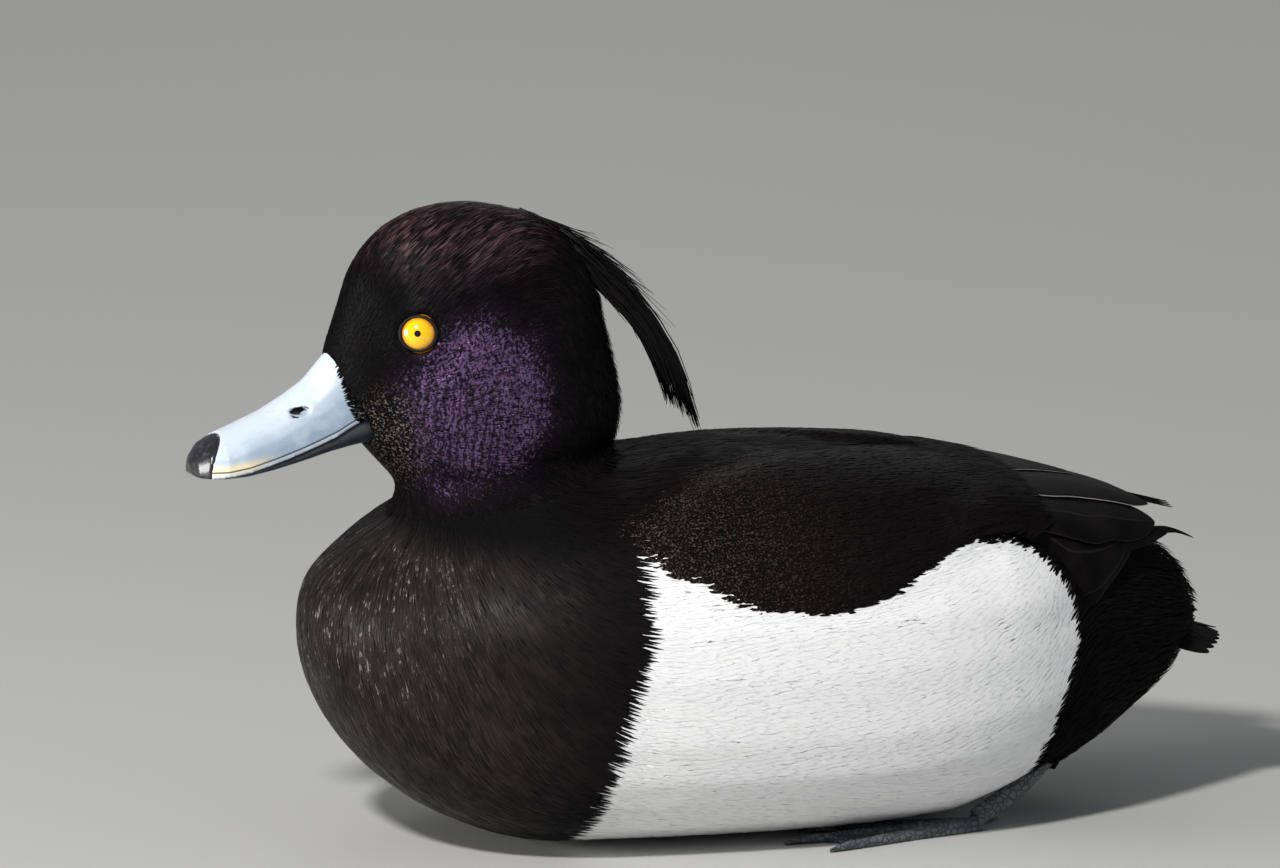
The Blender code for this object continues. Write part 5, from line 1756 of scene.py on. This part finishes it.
def area_light(name, place, size, colour, power):
    light = bpy.data.lights.new(name, "AREA")
    light.shape, light.size, light.energy, light.color = "DISK", size, power, colour
    obj = bpy.data.objects.new(name, light)
    bpy.context.scene.collection.objects.link(obj)
    obj.location = place
    obj.rotation_euler = (Vector(LIT_PLACE) - Vector(place)).to_track_quat("-Z", "Y").to_euler()


class DUCK_OT_stage(bpy.types.Operator):
    """Set the floor, the light and the camera of the photograph"""

    bl_idname = "duck.stage"
    bl_label = "Stage"

    def execute(self, context):
        settings, scene = context.scene.duck_stage, context.scene
        bpy.ops.object.select_all(action="DESELECT")
        bpy.ops.mesh.primitive_plane_add(size=FLOOR_SIZE)
        floor = context.active_object
        floor.name = "floor"
        material, shader = new_material("floor_paper", settings.floor, 0.9, Specular_IOR_Level=0.1)
        tint = [c * FLOOR_TINT for c in settings.floor]
        feed(material, shader.blend(shader.noise(shader.places(), 3.0), settings.floor, tint), "Base Color")
        floor.data.materials.append(material)
        azimuth, elevation = VIEW_AZIMUTH, VIEW_ELEVATION
        right = Vector((math.cos(azimuth), math.sin(azimuth), 0))
        level = Vector((math.sin(azimuth), -math.cos(azimuth), 0))
        back = level * math.cos(elevation) + Vector((0, 0, math.sin(elevation)))
        up = back.cross(right)
        target = Vector((0, 0, PICTURE_BASE_HEIGHT)) + right * PICTURE_CENTRE_RIGHT + up * PICTURE_CENTRE_UP
        camera = bpy.data.objects.new("camera", bpy.data.cameras.new("camera"))
        scene.collection.objects.link(camera)
        camera.location = target * MM + back * VIEW_DISTANCE
        camera.rotation_euler = back.to_track_quat("Z", "Y").to_euler()
        camera.data.sensor_width = SENSOR
        camera.data.lens = SENSOR * VIEW_DISTANCE / (PICTURE_WIDTH_MM * MM)
        camera.data.clip_start, camera.data.clip_end = CLIP
        scene.camera = camera
        for name, light in LIGHTS.items():
            area_light(name, *light, getattr(settings, name))
        world = bpy.data.worlds.new("surround")
        scene.world = world
        world.use_nodes = True
        background = world.node_tree.nodes["Background"]
        background.inputs["Color"].default_value = (*SKY, 1)
        background.inputs["Strength"].default_value = settings.world
        scene.view_settings.view_transform = "Standard"
        return {"FINISHED"}


class DUCK_PT_panel(bpy.types.Panel):
    """Lists the bird's settings and the steps that build it"""

    bl_idname = "DUCK_PT_panel"
    bl_label = "Tufted Duck"
    bl_space_type = "VIEW_3D"
    bl_region_type = "UI"
    bl_category = "Duck"

    def draw(self, context):
        for operator in OPERATORS:
            self.layout.operator(operator.bl_idname)
        for name, kind in SETTINGS.items():
            box = self.layout.box()
            for key in kind.__annotations__:
                box.prop(getattr(context.scene, name), key)


OPERATORS = (
    DUCK_OT_stage,
    DUCK_OT_skin,
    DUCK_OT_eyes,
    DUCK_OT_bill,
    DUCK_OT_feet,
    DUCK_OT_head_plumage,
    DUCK_OT_body_plumage,
    DUCK_OT_wing_feathers,
    DUCK_OT_cover_plumage,
    DUCK_OT_tail_feathers,
    DUCK_OT_crest,
)


def register():
    for kind in (*SETTINGS.values(), *OPERATORS, DUCK_PT_panel):
        bpy.utils.register_class(kind)
    for name, kind in SETTINGS.items():
        setattr(bpy.types.Scene, name, PointerProperty(type=kind))


def unregister():
    for name in SETTINGS:
        delattr(bpy.types.Scene, name)
    for kind in reversed((*SETTINGS.values(), *OPERATORS, DUCK_PT_panel)):
        bpy.utils.unregister_class(kind)


def main():
    register()
    for operator in OPERATORS:
        area, name = operator.bl_idname.split(".")
        getattr(getattr(bpy.ops, area), name)()


if __name__ == "__main__":
    main()
